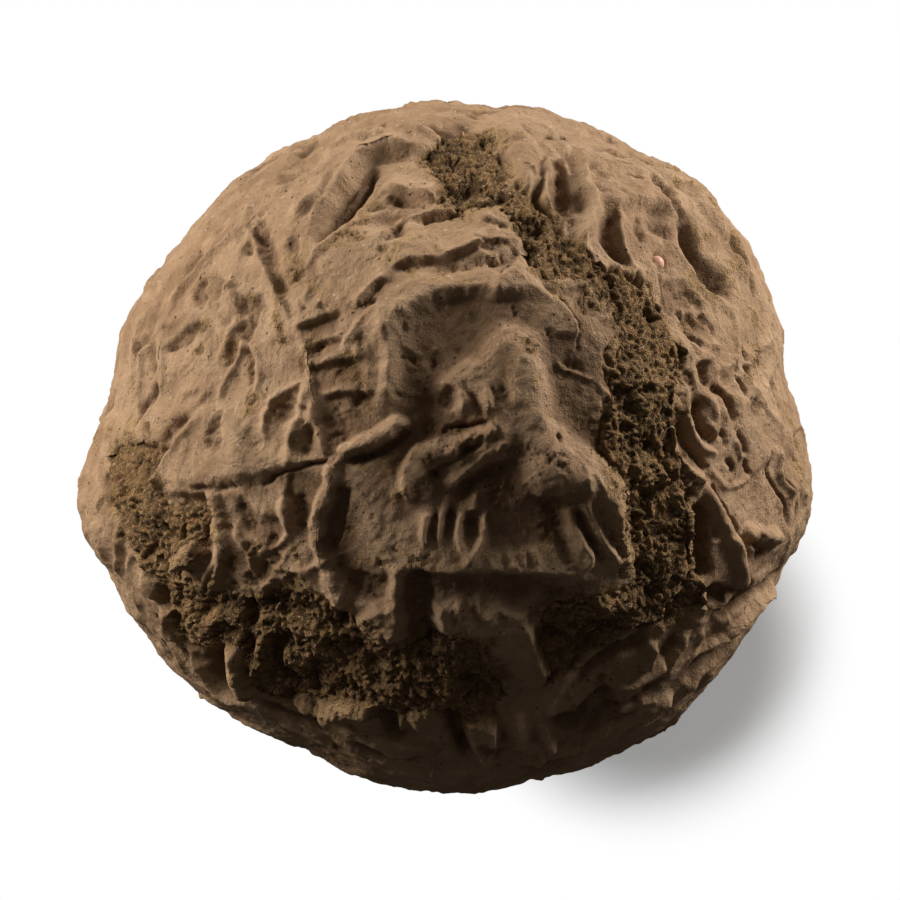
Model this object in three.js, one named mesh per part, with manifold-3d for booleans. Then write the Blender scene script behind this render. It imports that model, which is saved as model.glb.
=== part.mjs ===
// A clay bulla: a hollow ball of clay, about as big as a tangerine, that keeps a handful of counting
// tokens. A thick core wall was pinched up round a pot-shaped hollow, and the filling hole was stopped with
// a clay plug. Slabs of finer clay were pressed on all round, and each was rolled with a seal while wet.
// Dark coarse grit lies in the seams between the slabs. The tokens lie loose on the floor of the hollow.
// Units are millimetres, +Z is up, and the origin is the middle of the flat that the ball rests on.
import * as THREE from 'three';
import { mergeVertices } from 'three/addons/utils/BufferGeometryUtils.js';
import Module from 'manifold-3d';

const wasm = await Module();
wasm.setup();

// Driving dimensions of the ball
const BALL_WIDTH = 68;
const BALL_HEIGHT = 63.6;
const REST_TRIM = 1.6;
const COAT_THICKNESS = 2.6;
const GRIT_DEPTH = 0.9;
const SEAT_GAP = 0.3;
const SLAB_JOINT = 0.5;

// Driving dimensions of the hollow and its plug
const CAVITY_HEIGHT = 25;
const CAVITY_WALL_HEIGHT = 13;
const CAVITY_CORNER_RADIUS = 2;
const FILLING_THROAT_DIAMETER = 12;
const FILLING_MOUTH_DIAMETER = 16;
const PLUG_GAP = 0.3;
const CUT_OVERRUN = 4;

// Driving dimensions of the tokens
const TOKEN_GAP = 0.5;
const TOKEN_SEAT_GAP = 0.3;
const LARGE_SPHERE_DIAMETER = 11.5;
const SMALL_SPHERE_DIAMETER = 7.4;
const CONE_DIAMETER = 7.8;
const CONE_HEIGHT = 9.4;
const DISC_DIAMETER = 9.6;
const DISC_THICKNESS = 3.4;
const ROD_DIAMETER = 4.4;
const ROD_LENGTH = 10.5;
const TETRAHEDRON_EDGE = 8.6;

// The small pebble that sits in a pit of its own in the upper right slab
const PEBBLE_DIAMETER = 1.5;
const PEBBLE_PROUD = 0.45;

// The view that the outlines below were drawn in, from straight above, in pixels of that view
const VIEW_CENTRE = [448, 445];
const VIEW_BALL_WIDTH = 720;
const VIEW_MEAN_RADIUS = 352;
const VIEW_DISTANCE_SHARE = 13.3;
const PEBBLE_PIXEL = [664, 257];

// The outline of the ball in that view, clockwise from the top
const OUTLINE_PIXELS = [
  [450, 103], [480, 107], [512, 105], [537, 109], [562, 119], [592, 132], [640, 153], [672, 166],
  [700, 188], [724, 212], [746, 244], [761, 275], [771, 306], [778, 335], [781, 368], [790, 395],
  [800, 430], [804, 462], [808, 490], [806, 515], [796, 539], [783, 560], [777, 580], [757, 611],
  [737, 640], [716, 668], [692, 699], [657, 730], [611, 752], [561, 770], [505, 784], [458, 788],
  [404, 785], [360, 776], [328, 759], [308, 747], [262, 731], [213, 702], [172, 666], [150, 635],
  [122, 598], [112, 570], [97, 545], [89, 520], [87, 500], [92, 472], [98, 440], [104, 415],
  [114, 392], [120, 355], [121, 330], [139, 300], [162, 266], [200, 223], [247, 173], [302, 144],
  [338, 127], [372, 114], [405, 106],
];

// The broad flats that pressing and rolling left, each a point of the view, with -1 for one on the under
// side, and each flat's distance from the middle in shares of the mean radius
const FLAT_PIXELS = [
  [455, 420], [255, 330], [410, 195], [690, 300], [745, 470], [300, 640], [560, 690], [250, 300, -1],
  [620, 250, -1], [640, 620, -1], [290, 640, -1],
];
const FLAT_DISTANCE_SHARES = [0.965, 0.972, 0.968, 0.972, 0.978, 0.968, 0.965, 0.968, 0.972, 0.966, 0.97];
const FLAT_SOFTNESS_SHARE = 0.012;

// Slab outlines in pixels of the view. A third value of -1 marks a point on the under side, seen through
// the ball.
const SLAB_PIXELS = {
  coat_figure_panel: [
    [352, 312], [400, 278], [455, 262], [520, 250], [535, 264], [556, 278], [590, 282], [620, 305], [636, 332],
    [624, 352], [621, 385], [616, 420], [610, 446], [620, 470], [632, 500], [637, 540], [638, 578], [626, 600],
    [596, 604], [560, 612], [545, 636], [552, 666], [556, 684], [544, 700], [512, 704], [488, 690], [478, 662],
    [466, 646], [440, 638], [425, 650], [385, 655], [352, 632], [335, 608], [318, 560], [318, 520], [335, 470],
    [305, 380], [300, 330],
  ],
  coat_crown: [
    [352, 312], [318, 240], [345, 200], [372, 160], [400, 142], [438, 132], [442, 165], [448, 190], [472, 204],
    [500, 206], [522, 222], [530, 250], [520, 250], [455, 262], [400, 278],
  ],
  coat_left: [
    [352, 312], [318, 240], [345, 200], [372, 160], [370, 150], [330, 165], [290, 190], [250, 213], [215, 250],
    [185, 285], [165, 320], [155, 360], [150, 400], [140, 440], [152, 458], [157, 490], [168, 512], [190, 511],
    [205, 520], [203, 536], [185, 541], [176, 554], [178, 588], [204, 598], [245, 601], [300, 604], [335, 608],
    [318, 560], [318, 520], [335, 470], [305, 380], [300, 330],
  ],
  coat_rim_left: [
    [438, 130], [400, 140], [370, 150], [330, 165], [290, 190], [250, 213], [215, 250], [185, 285], [165, 320],
    [155, 360], [150, 400], [140, 440], [108, 448], [98, 450], [160, 448, -1], [170, 375, -1], [205, 300, -1],
    [250, 240, -1], [310, 200, -1], [375, 172, -1], [450, 165, -1], [452, 104], [446, 116],
  ],
  coat_shoulder: [
    [490, 118], [493, 145], [500, 186], [528, 198], [554, 226], [582, 248], [603, 262], [606, 230], [601, 190],
    [598, 160], [610, 141], [618, 206, -1], [545, 178, -1], [470, 166, -1], [476, 106],
  ],
  coat_right_upper: [
    [612, 142], [598, 160], [601, 190], [606, 230], [603, 262], [625, 272], [656, 298], [673, 333], [692, 352],
    [708, 353], [732, 346], [780, 352], [738, 368, -1], [700, 300, -1], [655, 245, -1], [620, 207, -1],
  ],
  coat_right: [
    [692, 352], [708, 353], [732, 346], [780, 354], [738, 370, -1], [745, 440, -1], [735, 510, -1],
    [712, 565, -1], [781, 568], [770, 586], [745, 600], [720, 608], [702, 600], [692, 570], [688, 530],
    [690, 490], [678, 452], [675, 405], [680, 370],
  ],
  coat_lower_right: [
    [702, 604], [720, 612], [745, 604], [770, 590], [778, 576], [708, 572, -1], [665, 635, -1], [598, 690, -1],
    [596, 756], [588, 738], [568, 712], [560, 690], [584, 668], [604, 652], [624, 637], [650, 626], [672, 618],
  ],
  coat_lower: [
    [266, 704], [300, 707], [350, 706], [400, 715], [440, 708], [475, 717], [512, 705], [544, 701], [558, 694],
    [568, 712], [588, 738], [592, 757], [592, 694, -1], [520, 725, -1], [448, 733, -1], [375, 725, -1],
    [318, 706, -1], [276, 736],
  ],
  coat_lower_left: [
    [100, 456], [112, 466], [124, 498], [138, 530], [152, 566], [172, 592], [180, 632], [202, 646], [220, 634],
    [240, 656], [252, 682], [262, 704], [270, 734], [308, 700, -1], [250, 655, -1], [200, 595, -1],
    [170, 530, -1], [160, 460, -1],
  ],
  coat_base: [
    [700, 448, -1], [686, 356, -1], [636, 276, -1], [560, 215, -1], [455, 196, -1], [360, 208, -1],
    [272, 262, -1], [216, 345, -1], [198, 440, -1], [212, 540, -1], [270, 630, -1], [350, 682, -1],
    [450, 704, -1], [556, 684, -1], [636, 620, -1], [688, 540, -1],
  ],
};

// Raised tables of the seal impressions: each a closed outline in pixels of the view, with its height and
// the width of its sloping edge in shares of the mean radius
const TABLE_PIXELS = {
  beast_body: [
    [500, 317], [517, 319], [546, 346], [558, 382], [566, 419], [590, 443], [618, 467], [631, 503], [640, 560],
    [632, 576], [618, 566], [601, 527], [578, 503], [545, 496], [528, 468], [514, 462], [484, 475], [460, 498],
    [446, 496], [438, 486], [442, 474], [464, 456], [482, 437], [474, 425], [443, 416], [433, 393], [433, 370],
    [455, 352], [480, 332],
  ],
  pillar: [
    [384, 566], [404, 566], [408, 590], [402, 640], [385, 654], [366, 650], [352, 634], [352, 618], [386, 600],
  ],
  tufted_slab: [
    [434, 604], [460, 598], [505, 604], [530, 614], [536, 634], [520, 640], [440, 640], [432, 624],
  ],
  left_animal: [
    [204, 404], [226, 408], [262, 444], [324, 456], [290, 470], [236, 483], [196, 497], [158, 494], [166, 450],
    [180, 426],
  ],
  log_end: [
    [378, 146], [356, 192], [318, 232], [308, 226], [308, 212], [338, 170], [356, 154],
  ],
  lower_lump: [
    [463, 718], [482, 716], [498, 754], [490, 768], [474, 766], [468, 744],
  ],
};
const TABLE_SHARES = {
  beast_body: { height: 0.048, edge: 0.06 },
  pillar: { height: 0.027, edge: 0.03 },
  tufted_slab: { height: 0.026, edge: 0.024 },
  left_animal: { height: 0.026, edge: 0.037 },
  log_end: { height: 0.026, edge: 0.026 },
  lower_lump: { height: 0.037, edge: 0.026 },
};

// Ridges, and furrows where the height is less than zero: each a chain of points of the view, with the half
// width at its two ends and its height in shares of the mean radius
const RIDGE_PIXELS = {
  beast_haunch: [[552, 466], [576, 482]],
  beast_brow: [[450, 372], [466, 362]],
  paw: [[450, 448], [428, 454], [413, 486]],
  upper_arm: [[456, 448], [492, 428]],
  under_arm: [[461, 497], [502, 470]],
  crescent: [[344, 452], [380, 434], [396, 424]],
  under_crescent: [[346, 463], [382, 450], [404, 427]],
  hind_leg_1: [[569, 508], [579, 541], [589, 561]],
  hind_leg_2: [[586, 503], [600, 537], [617, 567]],
  fringe_1: [[426, 514], [424, 546]],
  fringe_2: [[465, 512], [459, 528], [469, 557]],
  fringe_3: [[489, 513], [481, 544], [466, 564]],
  plane_edge: [[368, 340], [402, 302], [442, 278], [530, 280]],
  ledge: [[384, 562], [490, 562], [585, 570]],
  under_ledge: [[440, 590], [590, 596]],
  slot: [[418, 590], [419, 630]],
  side_hollow: [[356, 588], [374, 590]],
  small_slab_rim: [[556, 284], [600, 281], [654, 322]],
  small_slab_hollow: [[574, 300], [622, 322]],
  plane_left_edge: [[330, 466], [313, 526], [336, 600]],
  beside_edge: [[342, 494], [326, 548]],
  bar_side: [[378, 312], [387, 366], [384, 394]],
};
const RIDGE_SHARES = {
  beast_haunch: { widths: [0.084, 0.084], height: 0.045 },
  beast_brow: { widths: [0.06, 0.06], height: 0.012 },
  paw: { widths: [0.037, 0.047], height: 0.038 },
  upper_arm: { widths: [0.03, 0.024], height: 0.03 },
  under_arm: { widths: [0.034, 0.028], height: -0.03 },
  crescent: { widths: [0.03, 0.036], height: 0.038 },
  under_crescent: { widths: [0.022, 0.03], height: -0.024 },
  hind_leg_1: { widths: [0.026, 0.026], height: 0.03 },
  hind_leg_2: { widths: [0.026, 0.026], height: 0.03 },
  fringe_1: { widths: [0.024, 0.024], height: 0.02 },
  fringe_2: { widths: [0.024, 0.024], height: 0.022 },
  fringe_3: { widths: [0.024, 0.024], height: 0.022 },
  plane_edge: { widths: [0.06, 0.06], height: 0.02 },
  ledge: { widths: [0.05, 0.05], height: 0.024 },
  under_ledge: { widths: [0.045, 0.055], height: -0.014 },
  slot: { widths: [0.04, 0.04], height: -0.045 },
  side_hollow: { widths: [0.035, 0.04], height: -0.026 },
  small_slab_rim: { widths: [0.03, 0.034], height: 0.02 },
  small_slab_hollow: { widths: [0.034, 0.045], height: -0.013 },
  plane_left_edge: { widths: [0.03, 0.034], height: 0.023 },
  beside_edge: { widths: [0.03, 0.03], height: -0.026 },
  bar_side: { widths: [0.036, 0.036], height: 0.021 },
};

// The ridges, lumps, furrows and pits of the slabs round the panel: each a chain of points of the view, with
// one half width and one height for each kind
const SLAB_FORM_PIXELS = {
  ridges: [
    [[266, 198], [232, 227], [196, 262], [165, 300]], [[243, 221], [259, 260], [286, 317]],
    [[236, 340], [222, 376], [213, 398]], [[226, 318], [213, 356]], [[138, 350], [130, 408]],
    [[262, 436], [262, 418], [281, 389], [299, 381]], [[302, 383], [294, 422], [288, 448]],
    [[202, 406], [178, 442], [158, 488]], [[232, 526], [247, 558], [252, 574]],
    [[296, 322], [305, 370], [324, 452]], [[326, 138], [360, 129], [440, 131]], [[378, 180], [440, 192]],
    [[394, 214], [456, 197]], [[384, 272], [432, 254], [526, 240]], [[356, 312], [380, 281], [394, 277]],
    [[496, 293], [512, 266]], [[549, 156], [546, 190], [560, 209]],
    [[580, 146], [588, 188], [594, 208], [583, 240], [590, 254]],
    [[619, 214], [625, 248], [636, 262], [664, 308], [692, 352]],
    [[694, 392], [690, 410], [706, 448], [722, 456]], [[682, 372], [678, 428], [692, 466], [716, 492]],
    [[700, 576], [696, 612], [684, 630]], [[768, 588], [738, 620], [700, 658]],
    [[736, 636], [694, 676], [670, 700]], [[560, 684], [602, 652], [670, 618]], [[402, 720], [394, 744]],
    [[254, 690], [302, 716], [336, 732]], [[606, 744], [672, 692]],
  ],
  lumps: [
    [[222, 286], [229, 302]], [[212, 498], [222, 545], [203, 594]], [[284, 508], [284, 524]],
    [[184, 556], [198, 548]], [[505, 128], [532, 176]], [[690, 190], [726, 248], [738, 272]],
    [[711, 404], [714, 428]], [[710, 494], [732, 540], [740, 584]], [[682, 498], [687, 548], [682, 574]],
    [[748, 532], [770, 536]], [[652, 650], [648, 666]], [[622, 688], [660, 668]], [[545, 732], [551, 744]],
    [[326, 720], [350, 712], [372, 716]], [[420, 716], [432, 734]], [[516, 724], [522, 744]],
  ],
  furrows: [
    [[342, 313], [288, 331]], [[344, 339], [300, 356]], [[366, 360], [298, 372]], [[378, 396], [312, 402]],
    [[257, 222], [272, 262], [283, 290]], [[238, 342], [245, 382]], [[290, 396], [276, 426]],
    [[308, 424], [304, 454]], [[262, 484], [290, 470], [330, 462]], [[236, 506], [250, 534]],
    [[209, 552], [182, 571]], [[319, 238], [346, 207], [374, 164]], [[370, 119], [462, 126]],
    [[541, 168], [542, 204]], [[562, 172], [566, 202]], [[598, 144], [646, 166], [680, 182]],
    [[722, 243], [738, 272]], [[703, 400], [707, 434], [720, 443]], [[682, 416], [699, 457], [715, 476]],
    [[716, 386], [734, 404], [738, 418]], [[717, 488], [730, 514], [738, 544]],
    [[756, 606], [716, 648], [672, 690]], [[662, 682], [612, 716], [590, 736]],
    [[650, 640], [604, 672], [584, 690]], [[452, 712], [466, 760]], [[376, 714], [396, 744]],
    [[262, 712], [324, 744]], [[504, 768], [590, 744]], [[566, 716], [572, 736]],
  ],
  deep_furrows: [
    [[615, 216], [612, 243], [626, 258]], [[684, 222], [704, 261], [730, 288]],
    [[774, 571], [730, 612], [712, 628]], [[700, 514], [706, 548], [706, 570]],
  ],
  pits: [
    [[195, 280], [197, 300]], [[241, 298], [247, 306], [240, 332]], [[184, 328], [166, 344]],
    [[147, 388], [143, 398]], [[216, 418], [217, 444]], [[272, 548], [256, 578]], [[298, 506], [299, 524]],
    [[386, 234], [398, 226]], [[500, 264], [513, 252]], [[650, 186], [675, 213]], [[690, 296], [708, 299]],
    [[690, 310], [721, 326]], [[706, 364], [709, 380]], [[689, 582], [672, 616]], [[711, 592], [742, 588]],
    [[604, 700], [590, 712]], [[754, 538], [758, 552]],
  ],
};
const SLAB_FORM_SHARES = {
  ridges: { widths: [0.03, 0.03], height: 0.016 },
  lumps: { widths: [0.043, 0.043], height: 0.025 },
  furrows: { widths: [0.028, 0.028], height: -0.016 },
  deep_furrows: { widths: [0.036, 0.036], height: -0.034 },
  pits: { widths: [0.034, 0.034], height: -0.024 },
};

// The hollows and lumps of the grit in the seams, given in the way of the panel's ridges
const GRIT_PIXELS = {
  lower_left_pit: [[272, 660], [270, 672], [284, 688]],
  left_pit: [[244, 612], [230, 636]],
  lower_left_lump: [[270, 640], [330, 650]],
  panel_foot_pit: [[338, 624], [340, 632]],
  bottom_pit: [[500, 690], [530, 700]],
  beside_bottom_pit: [[470, 668], [490, 680]],
  lower_right_lump: [[600, 612], [640, 604]],
  right_lump: [[645, 470], [655, 484]],
  right_pit: [[658, 484], [672, 492]],
  upper_pit: [[538, 226], [562, 230]],
};
const GRIT_SHARES = {
  lower_left_pit: { widths: [0.036, 0.036], height: -0.02 },
  left_pit: { widths: [0.028, 0.03], height: -0.018 },
  lower_left_lump: { widths: [0.036, 0.036], height: 0.016 },
  panel_foot_pit: { widths: [0.028, 0.028], height: -0.012 },
  bottom_pit: { widths: [0.055, 0.055], height: -0.016 },
  beside_bottom_pit: { widths: [0.036, 0.036], height: -0.012 },
  lower_right_lump: { widths: [0.05, 0.05], height: 0.024 },
  right_lump: { widths: [0.04, 0.034], height: 0.022 },
  right_pit: { widths: [0.028, 0.028], height: -0.01 },
  upper_pit: { widths: [0.028, 0.028], height: -0.016 },
};

// How finely each skin is divided, and how far the corners of the shown skins crowd towards the top, where the
// seal impressions are
const COAT_DETAIL = 20;
const GRIT_DETAIL = 14;
const HIDDEN_DETAIL = 6;
const UPWARD_CROWDING_SHARE = 0.4;
const ROUND_SIDES = 24;
const SMALL_ROUND_SIDES = 16;
const BALL_DETAIL = 2;
const CORNER_STEPS = 3;
const ROOF_STEPS = 5;
const FAR_SHARE = 4;

// Where the outline of the view starts to shape the ball, and where it is all that does, in shares of the
// distance from the view's axis. A flat reaches as far as its facing share, and a sharp corner is let out
// no further than a corner of its share.
const OUTLINE_START_SHARE = 0.6;
const OUTLINE_FULL_SHARE = 0.97;
const FLAT_FACING_SHARE = 0.5;
const SHARP_CORNER_SHARE = 0.5;

// Sizes that follow from the driving ones
const MM_PER_PIXEL = BALL_WIDTH / VIEW_BALL_WIDTH;
const MEAN_RADIUS = VIEW_MEAN_RADIUS * MM_PER_PIXEL;
const HALF_HEIGHT = (BALL_HEIGHT + REST_TRIM) / 2;
const CENTRE_HEIGHT = HALF_HEIGHT - REST_TRIM;

// The direction, from the middle of the ball, that a pixel of the view looks at
function directionAt([x, y, side = 1]) {
  const across = (x - VIEW_CENTRE[0]) / VIEW_MEAN_RADIUS;
  const up = (VIEW_CENTRE[1] - y) / VIEW_MEAN_RADIUS;
  const slope = 1 / Math.sqrt(VIEW_DISTANCE_SHARE ** 2 - 1);
  const tilt = 1 + (across ** 2 + up ** 2) * slope ** 2;
  const reach = Math.max(0, VIEW_DISTANCE_SHARE ** 2 - tilt * (VIEW_DISTANCE_SHARE ** 2 - 1));
  const along = (VIEW_DISTANCE_SHARE - side * Math.sqrt(reach)) / tilt;
  const ahead = slope * along;
  return new THREE.Vector3(across * ahead, up * ahead, VIEW_DISTANCE_SHARE - along).normalize();
}

// The outline's distance from the middle, in shares of the mean radius, at an angle about the view's axis
const outlinePoints = OUTLINE_PIXELS.map(([x, y]) => {
  const across = x - VIEW_CENTRE[0];
  const up = VIEW_CENTRE[1] - y;
  return { angle: Math.atan2(up, across), share: Math.hypot(across, up) / VIEW_MEAN_RADIUS };
}).sort((a, b) => a.angle - b.angle);

function outlineShare(angle) {
  const count = outlinePoints.length;
  let next = outlinePoints.findIndex((p) => p.angle > angle);
  if (next < 0) next = 0;
  const before = outlinePoints[(next + count - 1) % count];
  const after = outlinePoints[next];
  const turn = 2 * Math.PI;
  const span = (after.angle - before.angle + turn) % turn;
  const gone = (angle - before.angle + turn) % turn;
  return THREE.MathUtils.lerp(before.share, after.share, gone / span);
}

const flats = FLAT_PIXELS.map((at, i) => ({ normal: directionAt(at), distance: FLAT_DISTANCE_SHARES[i] }));

// The distance from the middle of the ball to its smooth outer surface, along a unit vector
function ballRadius(direction) {
  const flat = Math.hypot(direction.x, direction.y);
  const round = 1 / Math.sqrt((flat / MEAN_RADIUS) ** 2 + (direction.z / HALF_HEIGHT) ** 2);
  const weight = THREE.MathUtils.smoothstep(flat, OUTLINE_START_SHARE, OUTLINE_FULL_SHARE);
  let share = THREE.MathUtils.lerp(1, outlineShare(Math.atan2(direction.y, direction.x)), weight);
  for (const { normal, distance } of flats) {
    const facing = normal.dot(direction);
    if (facing < FLAT_FACING_SHARE) continue;
    const plane = distance / facing;
    share -= FLAT_SOFTNESS_SHARE * Math.log1p(Math.exp((share - plane) / FLAT_SOFTNESS_SHARE));
  }
  return round * share;
}

// An outline laid out flat round its own middle, in radians, with the turn that brings its middle to the top
function laidFlat(outline) {
  const directions = outline.map(directionAt);
  const middle = directions.reduce((sum, d) => sum.add(d), new THREE.Vector3()).normalize();
  const turn = new THREE.Quaternion().setFromUnitVectors(middle, new THREE.Vector3(0, 0, 1));
  const corners = directions.map((d) => flatPlace(d, turn));
  if (THREE.ShapeUtils.area(corners) < 0) corners.reverse();
  return { middle, turn, corners };
}

function flatPlace(direction, turn) {
  const local = direction.clone().applyQuaternion(turn);
  return new THREE.Vector2(local.x, local.y).normalize().multiplyScalar(Math.acos(Math.min(1, local.z)));
}

const tables = Object.entries(TABLE_PIXELS).map(([name, outline]) => {
  const flat = laidFlat(outline);
  const reach = Math.max(...flat.corners.map((c) => c.length()));
  return { ...flat, reach, ...TABLE_SHARES[name] };
});
const chainsOf = (pixels, shares) => Object.entries(pixels).map(([name, points]) => ({
  at: points.map(directionAt),
  ...shares[name],
}));
const slabForms = Object.entries(SLAB_FORM_PIXELS).flatMap(([kind, chains]) => chains.map((points) => ({
  at: points.map(directionAt),
  ...SLAB_FORM_SHARES[kind],
})));
const ridges = [...chainsOf(RIDGE_PIXELS, RIDGE_SHARES), ...slabForms];
const gritForms = chainsOf(GRIT_PIXELS, GRIT_SHARES);

// How far a flat place lies inside a closed outline, or nothing outside it
function depthInside(place, corners) {
  let nearest = Infinity;
  let inside = false;
  const step = new THREE.Vector2();
  const from = new THREE.Vector2();
  corners.forEach((b, i) => {
    const a = corners[(i + corners.length - 1) % corners.length];
    step.subVectors(b, a);
    from.subVectors(place, a);
    const along = THREE.MathUtils.clamp(from.dot(step) / step.lengthSq(), 0, 1);
    if ((a.y > place.y) !== (b.y > place.y) && from.x < (from.y / step.y) * step.x) inside = !inside;
    nearest = Math.min(nearest, from.addScaledVector(step, -along).length());
  });
  return inside ? nearest : 0;
}

// The height that chains of ridges and furrows give a unit vector, in shares of the mean radius
function chainHeight(chains, direction) {
  const step = new THREE.Vector3();
  const from = new THREE.Vector3();
  return chains.reduce((sum, { at, widths, height }) => {
    let top = 0;
    for (let i = 1; i < at.length; i += 1) {
      step.subVectors(at[i], at[i - 1]);
      from.subVectors(direction, at[i - 1]);
      const along = THREE.MathUtils.clamp(from.dot(step) / step.lengthSq(), 0, 1);
      const width = THREE.MathUtils.lerp(widths[0], widths[1], (i - 1 + along) / (at.length - 1));
      const off = from.addScaledVector(step, -along).length() / width;
      top = Math.max(top, 1 - off ** 2);
    }
    return sum + height * top;
  }, 0);
}

// The height of the seal impressions at a unit vector
function reliefHeight(direction) {
  let height = chainHeight(ridges, direction);
  for (const table of tables) {
    if (direction.dot(table.middle) < Math.cos(table.reach)) continue;
    const depth = depthInside(flatPlace(direction, table.turn), table.corners);
    height += table.height * THREE.MathUtils.smoothstep(depth, 0, table.edge);
  }
  return height * MEAN_RADIUS;
}

const gritHeight = (direction) => chainHeight(gritForms, direction) * MEAN_RADIUS - GRIT_DEPTH;

// A unit vector drawn towards the top by a share of its height's angle
function crowded(direction, crowding) {
  const polar = Math.acos(THREE.MathUtils.clamp(direction.z, -1, 1));
  const drawn = polar - crowding * Math.sin(polar);
  const stretch = Math.sin(drawn) / Math.max(Math.hypot(direction.x, direction.y), Number.EPSILON);
  return direction.set(direction.x * stretch, direction.y * stretch, Math.cos(drawn));
}

// A closed body that follows a radius given for each direction
function skinSolid(detail, radiusOf, crowding = 0) {
  const sphere = new THREE.IcosahedronGeometry(1, detail);
  sphere.deleteAttribute('normal');
  sphere.deleteAttribute('uv');
  const merged = mergeVertices(sphere);
  const position = merged.getAttribute('position');
  const point = new THREE.Vector3();
  for (let i = 0; i < position.count; i += 1) {
    crowded(point.fromBufferAttribute(position, i).normalize(), crowding);
    point.multiplyScalar(radiusOf(point));
    position.setXYZ(i, point.x, point.y, point.z);
  }
  return solidOf(merged);
}

function solidOf(geometry) {
  const bare = geometry.clone();
  bare.deleteAttribute('normal');
  bare.deleteAttribute('uv');
  const merged = mergeVertices(bare);
  const mesh = new wasm.Mesh({
    numProp: 3,
    vertProperties: new Float32Array(merged.attributes.position.array),
    triVerts: new Uint32Array(merged.index.array),
  });
  return new wasm.Manifold(mesh);
}

function geometryOf(solid) {
  const { vertProperties, triVerts } = solid.getMesh();
  const geometry = new THREE.BufferGeometry();
  geometry.setAttribute('position', new THREE.BufferAttribute(new Float32Array(vertProperties), 3));
  geometry.setIndex(new THREE.BufferAttribute(new Uint32Array(triVerts), 1));
  const flat = geometry.toNonIndexed();
  flat.computeVertexNormals();
  return flat;
}

// A pyramid from the middle of the ball through an outline, drawn in or let out by a distance on the surface
function wedgeSolid(outline, drawnIn) {
  const { turn, corners } = laidFlat(outline);
  const moved = corners.map((p, i) => {
    const before = corners[(i + corners.length - 1) % corners.length];
    const after = corners[(i + 1) % corners.length];
    const a = p.clone().sub(before).normalize();
    const b = after.clone().sub(p).normalize();
    const inward = new THREE.Vector2(-a.y - b.y, a.x + b.x).normalize();
    const spread = Math.max(SHARP_CORNER_SHARE, inward.dot(new THREE.Vector2(-a.y, a.x)));
    return p.clone().addScaledVector(inward, drawnIn / MEAN_RADIUS / spread);
  });
  const back = turn.clone().invert();
  const positions = [0, 0, 0];
  for (const p of moved) {
    const angle = p.length();
    const out = new THREE.Vector3(p.x, p.y, 0).multiplyScalar(Math.sin(angle) / angle);
    out.setZ(Math.cos(angle)).applyQuaternion(back).multiplyScalar(FAR_SHARE * MEAN_RADIUS);
    positions.push(out.x, out.y, out.z);
  }
  const faces = THREE.ShapeUtils.triangulateShape(moved, []).flatMap(([a, b, c]) => [a + 1, b + 1, c + 1]);
  for (let i = 0; i < moved.length; i += 1) faces.push(0, ((i + 1) % moved.length) + 1, i + 1);
  const geometry = new THREE.BufferGeometry();
  geometry.setAttribute('position', new THREE.Float32BufferAttribute(positions, 3));
  geometry.setIndex(faces);
  return solidOf(geometry);
}

function latheSolid(points, sides) {
  return solidOf(new THREE.LatheGeometry(points.map(([r, z]) => new THREE.Vector2(r, z)), sides)
    .rotateX(Math.PI / 2));
}

const clay = (color, roughness) => new THREE.MeshStandardMaterial({ color, roughness, metalness: 0 });
const CORE_CLAY = clay(0x4d4336, 1);
const FINE_CLAY = clay(0xa68a6a, 0.85);
const TOKEN_CLAY = clay(0xb09272, 0.8);
const PEBBLE_STONE = clay(0xc98f74, 0.5);

const bulla = new THREE.Group();
const ball = new THREE.Group();
ball.position.z = CENTRE_HEIGHT;
bulla.add(ball);

function addPiece(parent, name, geometry, material) {
  const mesh = new THREE.Mesh(geometry, material);
  mesh.name = name;
  parent.add(mesh);
  return mesh;
}

// Token footprints: the ring of tokens stands round the large sphere, and the hollow is made to hold them
const rodHalf = ROD_DIAMETER / 2;
const tetrahedronRadius = TETRAHEDRON_EDGE / Math.sqrt(3);
const tetrahedronHeight = TETRAHEDRON_EDGE * Math.sqrt(2 / 3);
const ringTokens = [
  { name: 'small_sphere_token_1', width: SMALL_SPHERE_DIAMETER, depth: SMALL_SPHERE_DIAMETER },
  { name: 'cone_token_1', width: CONE_DIAMETER, depth: CONE_DIAMETER },
  { name: 'disc_token_1', width: DISC_DIAMETER, depth: DISC_DIAMETER },
  { name: 'small_sphere_token_2', width: SMALL_SPHERE_DIAMETER, depth: SMALL_SPHERE_DIAMETER },
  { name: 'disc_token_2', width: DISC_DIAMETER, depth: DISC_DIAMETER },
  { name: 'rod_token', width: ROD_LENGTH + rodHalf, depth: ROD_DIAMETER },
  { name: 'cone_token_2', width: CONE_DIAMETER, depth: CONE_DIAMETER },
  { name: 'tetrahedron_token', width: 2 * tetrahedronRadius, depth: 2 * tetrahedronRadius },
];
const deepest = Math.max(...ringTokens.map((t) => t.depth));
const ringLength = ringTokens.reduce((sum, t) => sum + t.width + 2 * TOKEN_GAP, 0);
const RING_RADIUS = Math.max(LARGE_SPHERE_DIAMETER / 2 + TOKEN_GAP + deepest / 2, ringLength / (2 * Math.PI));
const CAVITY_RADIUS = RING_RADIUS + deepest / 2 + TOKEN_GAP + CAVITY_CORNER_RADIUS;
const CAVITY_FLOOR = -CAVITY_HEIGHT / 2;

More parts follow.
